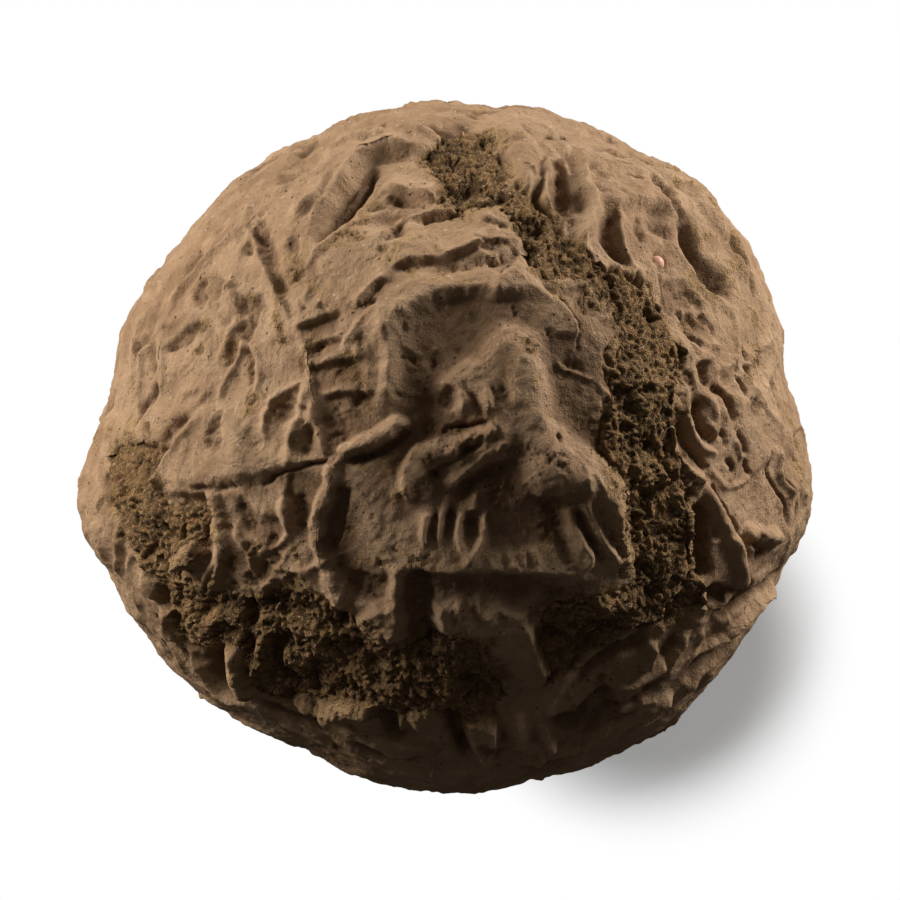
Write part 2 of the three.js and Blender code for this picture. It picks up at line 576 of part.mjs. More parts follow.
// The hollow: a flat floor with a rounded corner, an upright wall, and a roof that closes in to the filling
// hole
function cavityProfile() {
  const throat = FILLING_THROAT_DIAMETER / 2;
  const wallTop = CAVITY_FLOOR + CAVITY_WALL_HEIGHT;
  const roof = CAVITY_HEIGHT - CAVITY_WALL_HEIGHT;
  const points = [[0, CAVITY_FLOOR]];
  for (let i = 0; i <= CORNER_STEPS; i += 1) {
    const a = (i / CORNER_STEPS) * (Math.PI / 2);
    points.push([
      CAVITY_RADIUS - CAVITY_CORNER_RADIUS * (1 - Math.sin(a)),
      CAVITY_FLOOR + CAVITY_CORNER_RADIUS * (1 - Math.cos(a)),
    ]);
  }
  for (let i = 0; i <= ROOF_STEPS; i += 1) {
    const a = (i / ROOF_STEPS) * (Math.PI / 2);
    points.push([throat + (CAVITY_RADIUS - throat) * Math.cos(a), wallTop + roof * Math.sin(a)]);
  }
  points.push([0, wallTop + roof]);
  return points;
}

// The tapered filling hole, or the plug that fits it when it is drawn in by the plug's gap
function fillingTaper(gap, bottom, top) {
  const throat = FILLING_THROAT_DIAMETER / 2;
  const mouth = FILLING_MOUTH_DIAMETER / 2;
  const roof = CAVITY_FLOOR + CAVITY_HEIGHT;
  const widthAt = (z) => THREE.MathUtils.lerp(throat, mouth, (z - roof) / (HALF_HEIGHT - roof)) - gap;
  return latheSolid([[0, bottom], [widthAt(bottom), bottom], [widthAt(top), top], [0, top]], ROUND_SIDES);
}

const roofHeight = CAVITY_FLOOR + CAVITY_HEIGHT;
const seatSkin = skinSolid(HIDDEN_DETAIL, (d) => ballRadius(d) - COAT_THICKNESS);
const coreSkin = skinSolid(HIDDEN_DETAIL, (d) => ballRadius(d) - COAT_THICKNESS - SEAT_GAP);
// The core wall's coarse clay rises between the slabs, where it shows as grit
let risen = skinSolid(GRIT_DETAIL, (d) => ballRadius(d) + gritHeight(d), UPWARD_CROWDING_SHARE);
for (const outline of Object.values(SLAB_PIXELS)) risen = risen.subtract(wedgeSolid(outline, -SLAB_JOINT / 2));
const core = coreSkin
  .add(risen)
  .subtract(latheSolid(cavityProfile(), ROUND_SIDES))
  .subtract(fillingTaper(0, roofHeight - SEAT_GAP, HALF_HEIGHT + CUT_OVERRUN));
addPiece(ball, 'core_wall', geometryOf(core), CORE_CLAY);

const plug = fillingTaper(PLUG_GAP, roofHeight, HALF_HEIGHT + CUT_OVERRUN).intersect(coreSkin);
addPiece(ball, 'filling_plug', geometryOf(plug), CORE_CLAY);

// The pebble and its pit
const pebbleDirection = directionAt(PEBBLE_PIXEL);
const pebbleDistance = ballRadius(pebbleDirection) + reliefHeight(pebbleDirection) + PEBBLE_PROUD
  - PEBBLE_DIAMETER / 2;
const pebblePlace = pebbleDirection.clone().multiplyScalar(pebbleDistance);
const pit = new THREE.IcosahedronGeometry(PEBBLE_DIAMETER / 2 + SEAT_GAP, BALL_DETAIL)
  .translate(...pebblePlace);

// The slabs, each cut from one coat, with the flat that the ball rests on trimmed level
const underFloor = solidOf(new THREE.BoxGeometry(BALL_WIDTH * 2, BALL_WIDTH * 2, BALL_HEIGHT)
  .translate(0, 0, -CENTRE_HEIGHT - BALL_HEIGHT / 2));
const coatSkin = skinSolid(COAT_DETAIL, (d) => ballRadius(d) + reliefHeight(d), UPWARD_CROWDING_SHARE)
  .subtract(underFloor);
for (const [name, outline] of Object.entries(SLAB_PIXELS)) {
  let slab = coatSkin.intersect(wedgeSolid(outline, SLAB_JOINT / 2)).subtract(seatSkin);
  if (name === 'coat_right_upper') slab = slab.subtract(solidOf(pit));
  addPiece(ball, name, geometryOf(slab), FINE_CLAY);
}
const pebble = new THREE.IcosahedronGeometry(PEBBLE_DIAMETER / 2, BALL_DETAIL);
addPiece(ball, 'pebble_inclusion', pebble, PEBBLE_STONE).position.copy(pebblePlace);

// The tokens on the floor of the hollow
const hollow = new THREE.Group();
hollow.position.z = CAVITY_FLOOR + TOKEN_SEAT_GAP;
ball.add(hollow);

const sphereToken = (diameter, detail) => new THREE.IcosahedronGeometry(diameter / 2, detail)
  .translate(0, 0, diameter / 2);
const discHalf = DISC_DIAMETER / 2;
const discToken = () => new THREE.CylinderGeometry(discHalf, discHalf, DISC_THICKNESS, ROUND_SIDES)
  .rotateX(Math.PI / 2).translate(0, 0, DISC_THICKNESS / 2);
const tokenShapes = {
  small_sphere_token_1: () => sphereToken(SMALL_SPHERE_DIAMETER, BALL_DETAIL),
  small_sphere_token_2: () => sphereToken(SMALL_SPHERE_DIAMETER, BALL_DETAIL),
  cone_token_1: coneToken,
  cone_token_2: coneToken,
  disc_token_1: discToken,
  disc_token_2: discToken,
  rod_token: () => new THREE.CylinderGeometry(rodHalf, rodHalf, ROD_LENGTH, SMALL_ROUND_SIDES)
    .translate(0, 0, rodHalf),
  tetrahedron_token: () => new THREE.TetrahedronGeometry(TETRAHEDRON_EDGE / Math.sqrt(8 / 3))
    .applyQuaternion(new THREE.Quaternion().setFromUnitVectors(
      new THREE.Vector3(1, 1, 1).normalize(), new THREE.Vector3(0, 0, 1)))
    .translate(0, 0, tetrahedronHeight / 4),
};

function coneToken() {
  return new THREE.ConeGeometry(CONE_DIAMETER / 2, CONE_HEIGHT, SMALL_ROUND_SIDES)
    .rotateX(Math.PI / 2).translate(0, 0, CONE_HEIGHT / 2);
}

addPiece(hollow, 'large_sphere_token', sphereToken(LARGE_SPHERE_DIAMETER, BALL_DETAIL), TOKEN_CLAY);
let gone = 0;
for (const { name, width } of ringTokens) {
  const angle = ((gone + width / 2) / ringLength) * 2 * Math.PI;
  gone += width + 2 * TOKEN_GAP;
  const token = addPiece(hollow, name, tokenShapes[name](), TOKEN_CLAY);
  token.rotation.z = angle;
  token.position.set(RING_RADIUS * Math.cos(angle), RING_RADIUS * Math.sin(angle), 0);
}

export default bulla;
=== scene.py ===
"""A clay bulla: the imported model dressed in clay, grit and seal impressions, on a white floor."""

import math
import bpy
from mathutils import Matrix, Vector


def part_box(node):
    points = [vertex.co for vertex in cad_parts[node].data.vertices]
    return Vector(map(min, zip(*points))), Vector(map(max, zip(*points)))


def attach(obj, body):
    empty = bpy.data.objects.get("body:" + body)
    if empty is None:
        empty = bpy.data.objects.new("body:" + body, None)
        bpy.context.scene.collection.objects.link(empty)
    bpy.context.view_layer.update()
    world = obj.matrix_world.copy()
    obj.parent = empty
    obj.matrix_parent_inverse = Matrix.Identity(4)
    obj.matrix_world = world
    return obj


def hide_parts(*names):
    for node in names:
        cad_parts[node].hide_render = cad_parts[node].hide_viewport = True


bl_info = {
    "name": "Clay Bulla",
    "version": (1, 0, 0),
    "blender": (4, 5, 0),
    "location": "View3D > Sidebar > Bulla",
    "description": "Makes the clay skins, seams, tokens and stage of a hollow clay bulla",
    "category": "Add Mesh",
}

from collections import namedtuple

import bmesh
import bpy
import numpy as np
from mathutils import Vector

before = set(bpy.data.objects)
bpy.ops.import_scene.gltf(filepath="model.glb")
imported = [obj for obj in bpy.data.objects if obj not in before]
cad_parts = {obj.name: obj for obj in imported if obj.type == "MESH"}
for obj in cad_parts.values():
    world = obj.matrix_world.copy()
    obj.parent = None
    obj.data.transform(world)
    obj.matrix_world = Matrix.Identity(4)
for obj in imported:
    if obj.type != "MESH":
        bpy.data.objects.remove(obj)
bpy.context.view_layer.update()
TOKEN_NODES = [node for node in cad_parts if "_token" in node]

# Metres in a millimetre, and the sizes in millimetres that the solids have too
MM = 0.001
BALL_WIDTH = 68
BALL_HEIGHT = 63.6
REST_TRIM = 1.6
COAT_THICKNESS = 2.6
SEAT_GAP = 0.3
CAVITY_HEIGHT = 25
CAVITY_WALL_HEIGHT = 13
CAVITY_CORNER_RADIUS = 2
FILLING_THROAT_DIAMETER = 12
FILLING_MOUTH_DIAMETER = 16

# Sizes in millimetres that only the finish has
SMEARED_OVER = 0.1
LEAST_SLAB_THICKNESS = 0.1
GRIT_UNDER_SMEARS = 0.35
GRIT_OVER_FLOOR = 0.05
TOKEN_CLEARANCE = 0.5
HOLLOW_OVERSHOOT = 4

# How fine the meshes are
MOST_SLAB_TRIANGLES = 185000
TRIANGLES_A_CELL = 4
CORNER_STEPS = 8
DOME_STEPS = 24
SMOOTHING_ROUNDS = 4
MERGE_DISTANCE = 1e-3
FLAT_ANGLE = 0.02
BEVEL_ANGLE = 0.7
SLAB_EDGE_ANGLE = math.radians(60)

# Where the core's faces are halved again and again: how high up as shares of the radius, and how far inside
# a slab in millimetres, with how much less that is each further time
CORE_SUBDIVISIONS = 6
CORE_LOWEST = (-2, -0.35, 0.0)
SEAM_BAND, SEAM_BAND_STEP = 1.9, 0.25
NARROW_BAND, NARROW_BAND_STEP = 1.2, 0.4
NARROW_GAP, WIDE_GAP = 0.3, 2.5
NARROW_LOWEST = -0.7

# The view that the outlines are drawn in, from straight above, in pixels of that view
VIEW_WIDTH = 900
VIEW_CENTRE = (448, 445)
VIEW_BALL_WIDTH = 720
VIEW_MEAN_RADIUS = 352
VIEW_DISTANCE_SHARE = 13.3
SHADOW_PIXEL = (650, 650)
SHADOW_REACH_PIXELS = (100, 212)

# Colours of the clay's parts
OCHRE_GRAIN = (0.41, 0.24, 0.092, 1)
OCHRE_CRUMB = (0.38, 0.23, 0.098, 1)
RED_GRAIN = (0.33, 0.13, 0.07, 1)
PALE_GRAIN = (0.62, 0.52, 0.38, 1)
PALE_SPECK = (0.62, 0.50, 0.36, 1)
GRIT_DUST = (0.34, 0.205, 0.092, 1)
# Colours of painted shade, multiplied into the fine clay and the grit in their hollows, creases and gaps
SKIN_SHADE = (0.32, 0.255, 0.19, 1)
GRIT_SHADE = (0.20, 0.185, 0.17, 1)
DARK_STONE = (0.58, 0.25, 0.17, 1)
LIGHT_STONE = (0.78, 0.46, 0.34, 1)
STONE_SPOT = (0.9, 0.75, 0.65, 1)

# Colours of the stage
WHITE = (1, 1, 1, 1)
DIM_FLOOR = (0.06, 0.055, 0.05, 1)
FILL_COLOUR = (1.0, 0.97, 0.93, 1)
WARM_LIGHT = (1.0, 0.97, 0.93)
RIGHT_LIGHT = (1.0, 0.975, 0.95)

# The outline of the ball in the view, clockwise from the top
OUTLINE_PIXELS = [
    (450, 103), (480, 107), (512, 105), (537, 109), (562, 119), (592, 132), (640, 153), (672, 166),
    (700, 188), (724, 212), (746, 244), (761, 275), (771, 306), (778, 335), (781, 368), (790, 395),
    (800, 430), (804, 462), (808, 490), (806, 515), (796, 539), (783, 560), (777, 580), (757, 611),
    (737, 640), (716, 668), (692, 699), (657, 730), (611, 752), (561, 770), (505, 784), (458, 788),
    (404, 785), (360, 776), (328, 759), (308, 747), (262, 731), (213, 702), (172, 666), (150, 635),
    (122, 598), (112, 570), (97, 545), (89, 520), (87, 500), (92, 472), (98, 440), (104, 415),
    (114, 392), (120, 355), (121, 330), (139, 300), (162, 266), (200, 223), (247, 173), (302, 144),
    (338, 127), (372, 114), (405, 106),
]

# The ball's flattened places, with how far out each lies and how softly it ends, in shares of the radius
FLAT_PIXELS = [(455, 420), (255, 330), (410, 195), (690, 300), (745, 470), (300, 640), (560, 690),
               (250, 300, -1), (620, 250, -1), (640, 620, -1), (290, 640, -1)]
FLAT_DISTANCE_SHARES = [0.965, 0.972, 0.968, 0.972, 0.978, 0.968, 0.965, 0.968, 0.972, 0.966, 0.97]
FLAT_SOFTNESS_SHARE = 0.012
LEAST_FACING = 0.5

# Where the outline takes hold, from how far out to how far out, in shares of the mean radius
OUTLINE_HOLD = (0.6, 0.97)

# The edges that two slabs share, in pixels. A third value of -1 is a point on the ball's under side.
CROWN_LEFT_EDGE = [(352, 312), (318, 240), (345, 200), (372, 160), (370, 150)]
CROWN_RIM_EDGE = [(400, 141), (436, 134)]
CROWN_PANEL_EDGE = [(520, 250), (455, 262), (400, 278)]
LEFT_RIM_EDGE = [(330, 165), (290, 190), (250, 213), (215, 250), (185, 285), (165, 320), (155, 360),
                 (150, 400), (140, 440)]
LEFT_PANEL_EDGE = [(335, 608), (318, 560), (318, 520), (335, 470), (305, 380), (300, 330)]
SHOULDER_RIGHT_EDGE = [(603, 262), (606, 230), (601, 190), (598, 160), (611, 142)]
RIGHT_EDGE = [(692, 352), (708, 353), (732, 346), (780, 353), (738, 369, -1)]
RIGHT_LOWER_EDGE = [(710, 569, -1), (780, 573), (770, 588), (745, 602), (720, 610), (703, 603)]
LOWER_RIGHT_EDGE = [(559, 692), (568, 712), (588, 738), (594, 757), (595, 692, -1)]
LOWER_LEFT_EDGE = [(264, 704), (273, 735), (313, 703, -1)]

# The outline of each slab of fine clay
SLAB_PIXELS = {
    "coat_figure_panel": [
        (352, 312), *CROWN_PANEL_EDGE[::-1], (535, 264), (556, 278), (590, 282), (620, 305), (636, 332),
        (624, 352), (621, 385), (616, 420), (610, 446), (620, 470), (632, 500), (637, 540), (638, 578),
        (626, 600), (596, 604), (560, 612), (545, 636), (552, 666), (556, 684), (544, 700), (512, 704),
        (488, 690), (478, 662), (466, 646), (440, 638), (425, 650), (385, 655), (352, 632),
        *LEFT_PANEL_EDGE],
    "coat_crown": [
        *CROWN_LEFT_EDGE, *CROWN_RIM_EDGE, (431, 150), (436, 166), (450, 184), (462, 196), (500, 200),
        (514, 208), (526, 224), (532, 248), *CROWN_PANEL_EDGE],
    "coat_left": [
        *CROWN_LEFT_EDGE, *LEFT_RIM_EDGE, (152, 458), (157, 490), (168, 512), (190, 511), (205, 520),
        (203, 536), (185, 541), (176, 554), (178, 588), (204, 598), (245, 601), (300, 604),
        *LEFT_PANEL_EDGE],
    "coat_rim_left": [
        (460, 120), (446, 124), *CROWN_RIM_EDGE[::-1], (370, 150), *LEFT_RIM_EDGE, (110, 455), (97, 458),
        (160, 458, -1), (170, 375, -1), (205, 300, -1), (250, 240, -1), (310, 200, -1), (375, 172, -1),
        (460, 165, -1), (466, 104)],
    "coat_shoulder": [
        (460, 120), (484, 124), (490, 142), (492, 170), (506, 184), (518, 196), (528, 198), (554, 226),
        (582, 248), *SHOULDER_RIGHT_EDGE, (619, 206, -1), (545, 178, -1), (460, 165, -1), (466, 104)],
    "coat_right_upper": [
        *SHOULDER_RIGHT_EDGE[::-1], (625, 272), (656, 298), (673, 333), *RIGHT_EDGE, (700, 300, -1),
        (655, 245, -1), (619, 206, -1)],
    "coat_right": [
        *RIGHT_EDGE, (745, 440, -1), (735, 510, -1), *RIGHT_LOWER_EDGE, (692, 570), (688, 530), (690, 490),
        (678, 452), (675, 405), (680, 370)],
    "coat_lower_right": [
        *RIGHT_LOWER_EDGE[::-1], (665, 635, -1), *LOWER_RIGHT_EDGE[::-1], (584, 668), (604, 652), (624, 637),
        (650, 626), (672, 618)],
    "coat_lower": [
        (264, 704), (300, 707), (350, 706), (400, 715), (440, 708), (475, 717), (512, 705), (544, 701),
        *LOWER_RIGHT_EDGE, (520, 725, -1), (448, 733, -1), (375, 725, -1), *LOWER_LEFT_EDGE[:0:-1]],
    "coat_lower_left": [
        (97, 452), (110, 458), (124, 498), (138, 530), (152, 566), (172, 592), (180, 632), (202, 646),
        (220, 634), (240, 656), (252, 682), *LOWER_LEFT_EDGE, (250, 655, -1), (200, 595, -1), (170, 530, -1),
        (160, 452, -1)],
    "coat_base": [
        (700, 448, -1), (686, 356, -1), (636, 276, -1), (560, 215, -1), (455, 196, -1), (360, 208, -1),
        (272, 262, -1), (216, 345, -1), (198, 440, -1), (212, 540, -1), (270, 630, -1), (350, 682, -1),
        (450, 704, -1), (556, 684, -1), (636, 620, -1), (688, 540, -1)],
}

# Sizes that follow from the ones above
MM_PER_PIXEL = BALL_WIDTH / VIEW_BALL_WIDTH
MEAN_RADIUS = VIEW_MEAN_RADIUS * MM_PER_PIXEL
HALF_HEIGHT = (BALL_HEIGHT + REST_TRIM) / 2
CENTRE_HEIGHT = HALF_HEIGHT - REST_TRIM
CENTRE = np.array((0.0, 0.0, CENTRE_HEIGHT))


def smooth_step(value, low, high):
    """0 up to low, 1 from high on, and an even rise between them."""
    t = np.clip((value - low) / (high - low), 0, 1)
    return t * t * (3 - 2 * t)


def smooth_max(a, b, softness):
    """The larger of two values, rounded where they are about the same."""
    h = np.clip(0.5 + 0.5 * (a - b) / softness, 0, 1)
    return b + (a - b) * h + softness * h * (1 - h)


def bell(away, steepness):
    """1 in the middle, falling off to both sides."""
    return np.exp(-away ** 2 * steepness)


def directions_at(pixels):
    """Unit vectors from the middle of the ball to points of the view. A third value of -1 is below."""
    rows = np.array([(p[0], p[1], p[2] if len(p) > 2 else 1) for p in pixels], float)
    across = (rows[:, 0] - VIEW_CENTRE[0]) / VIEW_MEAN_RADIUS
    up = (VIEW_CENTRE[1] - rows[:, 1]) / VIEW_MEAN_RADIUS
    slope = 1 / math.sqrt(VIEW_DISTANCE_SHARE ** 2 - 1)
    tilt = 1 + (across ** 2 + up ** 2) * slope ** 2
    reach = np.maximum(0, VIEW_DISTANCE_SHARE ** 2 - tilt * (VIEW_DISTANCE_SHARE ** 2 - 1))
    along = (VIEW_DISTANCE_SHARE - rows[:, 2] * np.sqrt(reach)) / tilt
    vectors = np.stack([across * slope * along, up * slope * along, VIEW_DISTANCE_SHARE - along], axis=1)
    return vectors / np.linalg.norm(vectors, axis=1, keepdims=True)


def outline_table(steps=1440, blur=9):
    """Distances of the outline from the middle at even angles, in shares of the mean radius, softened."""
    across = np.array([x - VIEW_CENTRE[0] for x, y in OUTLINE_PIXELS])
    up = np.array([VIEW_CENTRE[1] - y for x, y in OUTLINE_PIXELS])
    angle = np.arctan2(up, across)
    order = np.argsort(angle)
    share = np.hypot(across, up)[order] / VIEW_MEAN_RADIUS
    even = np.linspace(-math.pi, math.pi, steps, endpoint=False)
    shares = np.interp(even, angle[order], share, period=2 * math.pi)
    reach = np.arange(-3 * blur, 3 * blur + 1)
    weights = np.exp(-(reach / blur) ** 2 / 2)
    ring = np.concatenate([shares[-3 * blur:], shares, shares[:3 * blur]])
    return np.convolve(ring, weights / weights.sum(), mode="valid")


OUTLINE_TABLE = outline_table()
FLAT_NORMALS = directions_at(FLAT_PIXELS)


def ball_radius(directions):
    """The distance from the middle of the ball to its smooth outer surface, in millimetres."""
    flat = np.hypot(directions[:, 0], directions[:, 1])
    round_radius = 1 / np.sqrt((flat / MEAN_RADIUS) ** 2 + (directions[:, 2] / HALF_HEIGHT) ** 2)
    turn = (np.arctan2(directions[:, 1], directions[:, 0]) / (2 * math.pi) + 0.5) * len(OUTLINE_TABLE)
    outline = np.interp(turn, np.arange(len(OUTLINE_TABLE)), OUTLINE_TABLE, period=len(OUTLINE_TABLE))
    share = 1 + smooth_step(flat, *OUTLINE_HOLD) * (outline - 1)
    for normal, distance in zip(FLAT_NORMALS, FLAT_DISTANCE_SHARES):
        facing = directions @ normal
        near = np.flatnonzero(facing > LEAST_FACING)
        gone = (share[near] - distance / facing[near]) / FLAT_SOFTNESS_SHARE
        share[near] -= FLAT_SOFTNESS_SHARE * np.logaddexp(0, gone)
    return round_radius * share


def lattice_value(x, y, z, seed):
    """A number between 0 and 1 that belongs to a whole-number place."""
    h = (x * 374761393 + y * 668265263 + z * 1442695041 + seed * 974634777) & 0xFFFFFFFF
    h = ((h ^ (h >> 13)) * 1274126177) & 0xFFFFFFFF
    h = ((h ^ (h >> 16)) * 2246822519) & 0xFFFFFFFF
    return ((h ^ (h >> 15)) & 0xFFFFFF) / 0xFFFFFF


def noise(points, size, seed, octaves=1):
    """Smooth noise between about -1 and 1 at points in millimetres, with lumps of a given size."""
    total = np.zeros(len(points))
    strength, weight = 1.0, 0.0
    for octave in range(octaves):
        scaled = points / (size / 2 ** octave)
        cell = np.floor(scaled).astype(np.int64)
        part = scaled - cell
        part = part * part * part * (part * (part * 6 - 15) + 10)
        value = np.zeros(len(points))
        for dx in (0, 1):
            wx = part[:, 0] if dx else 1 - part[:, 0]
            for dy in (0, 1):
                wy = wx * (part[:, 1] if dy else 1 - part[:, 1])
                for dz in (0, 1):
                    wz = part[:, 2] if dz else 1 - part[:, 2]
                    corner = lattice_value(cell[:, 0] + dx, cell[:, 1] + dy, cell[:, 2] + dz, seed + octave)
                    value += wy * wz * corner
        total += strength * (2 * value - 1)
        weight += strength
        strength *= 0.5
    return total / weight * 1.4


def lumps(points, size, seed, octaves, height):
    """Heights in millimetres of smooth lumps of a given size."""
    return noise(points, size, seed, octaves) * height


def shifts(points, size, seeds, octaves, reach):
    """Uneven shifts of up to about a reach in millimetres, one column for each seed."""
    return np.stack([noise(points, size, seed, octaves) for seed in seeds], axis=1) * reach


def grains(points, size, seed):
    """Grains packed about a size apart: 1 on a grain's top and 0 between grains."""
    scaled = points / size
    cell = np.floor(scaled).astype(np.int64)
    nearest = np.full(len(points), 9.0)
    for dx in (-1, 0, 1):
        for dy in (-1, 0, 1):
            for dz in (-1, 0, 1):
                x, y, z = cell[:, 0] + dx, cell[:, 1] + dy, cell[:, 2] + dz
                number = lattice_value(x, y, z, seed + 3)
                away = np.sqrt((scaled[:, 0] - x - 0.15 - 0.7 * lattice_value(x, y, z, seed)) ** 2
                               + (scaled[:, 1] - y - 0.15 - 0.7 * lattice_value(x, y, z, seed + 1)) ** 2
                               + (scaled[:, 2] - z - 0.15 - 0.7 * number) ** 2) / (0.5 + 0.6 * number)
                nearest = np.minimum(nearest, away)
    return np.sqrt(np.clip(1 - nearest ** 2, 0, 1))


def tangent_frame(outward):
    """Two unit vectors square to a direction, and the direction itself, as the rows of a matrix."""
    side = np.cross((0.0, 1.0, 0.0), outward)
    if np.linalg.norm(side) < 0.1:
        side = np.cross((0.0, 0.0, 1.0), outward)
    side /= np.linalg.norm(side)
    return np.array([side, np.cross(outward, side), outward])


def flattened(directions, axes):
    """Directions laid out flat round a frame's own direction, in millimetres over the ball's surface."""
    local = directions @ axes.T
    angle = np.arccos(np.clip(local[:, 2], -1, 1))
    spread = np.maximum(np.hypot(local[:, 0], local[:, 1]), 1e-9)
    return local[:, :2] / spread[:, None] * (angle * MEAN_RADIUS)[:, None]


def wrapped(flat, axes):
    """The unit vectors of places laid out flat round a frame's own direction."""
    distance = np.maximum(np.linalg.norm(flat, axis=1), 1e-9)
    angle = distance / MEAN_RADIUS
    local = np.column_stack([flat / distance[:, None] * np.sin(angle)[:, None], np.cos(angle)])
    return local @ axes


def near_to(directions, axes, reach):
    """The numbers of the directions within a reach of a frame's own, in millimetres over the surface."""
    return np.flatnonzero(directions @ axes[2] > math.cos(min(math.pi, reach / MEAN_RADIUS)))


def polygon_depth(points, corners):
    """How far flat points lie inside a polygon, and less than zero outside it."""
    best = np.full(len(points), np.inf)
    inside = np.zeros(len(points), bool)
    x, y = points[:, 0], points[:, 1]
    for a, b in zip(corners, np.roll(corners, -1, axis=0)):
        sx, sy = b - a
        ax, ay = x - a[0], y - a[1]
        along = np.clip((ax * sx + ay * sy) / (sx * sx + sy * sy), 0, 1)
        best = np.minimum(best, (ax - along * sx) ** 2 + (ay - along * sy) ** 2)
        if sy:
            inside ^= ((a[1] > y) != (b[1] > y)) & (x < a[0] + ay / sy * sx)
    return np.where(inside, 1, -1) * np.sqrt(best)


class Patch:
    """A closed outline on the ball, given by pixels of the view."""

    def __init__(self, pixels, step=2.5):
        ends = directions_at(pixels)
        middle = ends.sum(axis=0)
        self.axes = tangent_frame(middle / np.linalg.norm(middle))
        places = []
        for a, b in zip(ends, np.roll(ends, -1, axis=0)):
            angle = math.acos(min(1, a @ b))
            count = max(1, int(angle * MEAN_RADIUS / step))
            for t in np.arange(count) / count:
                between = a * math.sin((1 - t) * angle) + b * math.sin(t * angle) if angle > 1e-6 else a
                places.append(between / np.linalg.norm(between))
        self.corners = flattened(np.array(places), self.axes)
        self.reach = np.linalg.norm(self.corners, axis=1).max()

    def area(self):
        """The outline's area in square millimetres."""
        ahead = np.roll(self.corners, -1, axis=0)
        return abs(np.sum(self.corners[:, 0] * ahead[:, 1] - self.corners[:, 1] * ahead[:, 0])) / 2

    def depth(self, directions, margin=5.0):
        """How far each direction lies inside the outline in millimetres, and -margin far outside it."""
        result = np.full(len(directions), -margin)
        near = near_to(directions, self.axes, self.reach + margin)
        if len(near):
            result[near] = polygon_depth(flattened(directions[near], self.axes), self.corners)
        return np.maximum(result, -margin)


SLABS = {name: Patch(pixels) for name, pixels in SLAB_PIXELS.items()}

# One stroke of the relief. Rise is its height and reach its half width, or its half widths at its two ends,
# in pixels of the view. The path is the pixels that it follows or, for a table, that go round it.
Stroke = namedtuple("Stroke", "kind rise reach path")

# How steeply strokes fall off to their sides, and the half widths that they are worked out over
SWELL_FALL = 1.8
RIDGE_FALL = 1.6
CRACK_FALL = 2.5
STROKE_WIDTHS = 2.6
FOLD_WIDTHS = 5

# How much a stroke loses at its ends and over what share of its length, and how much of the ground under it
# a mound keeps
END_LOSS = 0.65
END_SHARE = 0.16
FOLD_END_SHARE = 0.22
MOUND_KEEPS = 0.35

# How dark the painted shade is that a stroke leaves in what it sinks
GROOVE_SHADE = 0.4
PIT_SHADE = 0.8
FOLD_SHADE = 0.4


def stroke_of(kind):
    """A short way to note strokes of one kind."""
    def note(rise, reach, *path):
        return Stroke(kind, rise, reach, path)
    return note


swell = stroke_of("swell")
mound = stroke_of("mound")
ridge = stroke_of("ridge")
groove = stroke_of("groove")
crack = stroke_of("crack")
pit = stroke_of("pit")
fold = stroke_of("fold")
table = stroke_of("table")


def smooth_path(path, steps=4):
    """A path of pixels with points added on a smooth curve through them."""
    points = np.array(path, float)
    if len(points) < 3:
        return points
    before = np.vstack([2 * points[0] - points[1], points[:-1]])
    after = np.vstack([points[1:], 2 * points[-1] - points[-2]])
    result = []
    for i in range(len(points) - 1):
        p0, p1, p2, p3 = before[i], points[i], points[i + 1], after[i + 1]
        for t in np.arange(steps) / steps:
            result.append(0.5 * (2 * p1 + (p2 - p0) * t + (2 * p0 - 5 * p1 + 4 * p2 - p3) * t ** 2
                                 + (3 * p1 - p0 - 3 * p2 + p3) * t ** 3))
    return np.array(result + [points[-1]])


def path_distance(points, chain):
    """The distances of flat points to a chain, more than zero on its left, and how far along it they are."""
    best = np.full(len(points), np.inf)
    signed = np.zeros(len(points))
    share = np.zeros(len(points))
    lengths = np.linalg.norm(np.diff(chain, axis=0), axis=1)
    total = max(lengths.sum(), 1e-9)
    gone = 0.0
    for a, b, length in zip(chain[:-1], chain[1:], lengths):
        sx, sy = b - a
        ax, ay = points[:, 0] - a[0], points[:, 1] - a[1]
        along = np.clip((ax * sx + ay * sy) / max(sx * sx + sy * sy, 1e-9), 0, 1)
        square = (ax - along * sx) ** 2 + (ay - along * sy) ** 2
        closer = square < best
        best[closer] = square[closer]
        signed[closer] = np.where(sx * ay - sy * ax >= 0, 1.0, -1.0)[closer]
        share[closer] = ((gone + along * length) / total)[closer]
        gone += length
    return np.sqrt(best) * signed, share


def press_table(height, stroke, directions, wobble, margin=3.0):
    """Raises the inside of a closed path to a flat top with sloping sides. Heights are in pixels."""
    patch = Patch(stroke.path)
    near = near_to(directions, patch.axes, patch.reach + margin)
    if not len(near):
        return
    flat = flattened(directions[near], patch.axes) + wobble[near]
    inside = polygon_depth(flat, patch.corners) / MM_PER_PIXEL
    ramp = np.clip((inside + stroke.reach * 0.2) / (stroke.reach * 1.2), 0, 1)
    height[near] += stroke.rise * (0.5 * ramp + 0.5 * ramp * ramp * (3 - 2 * ramp))


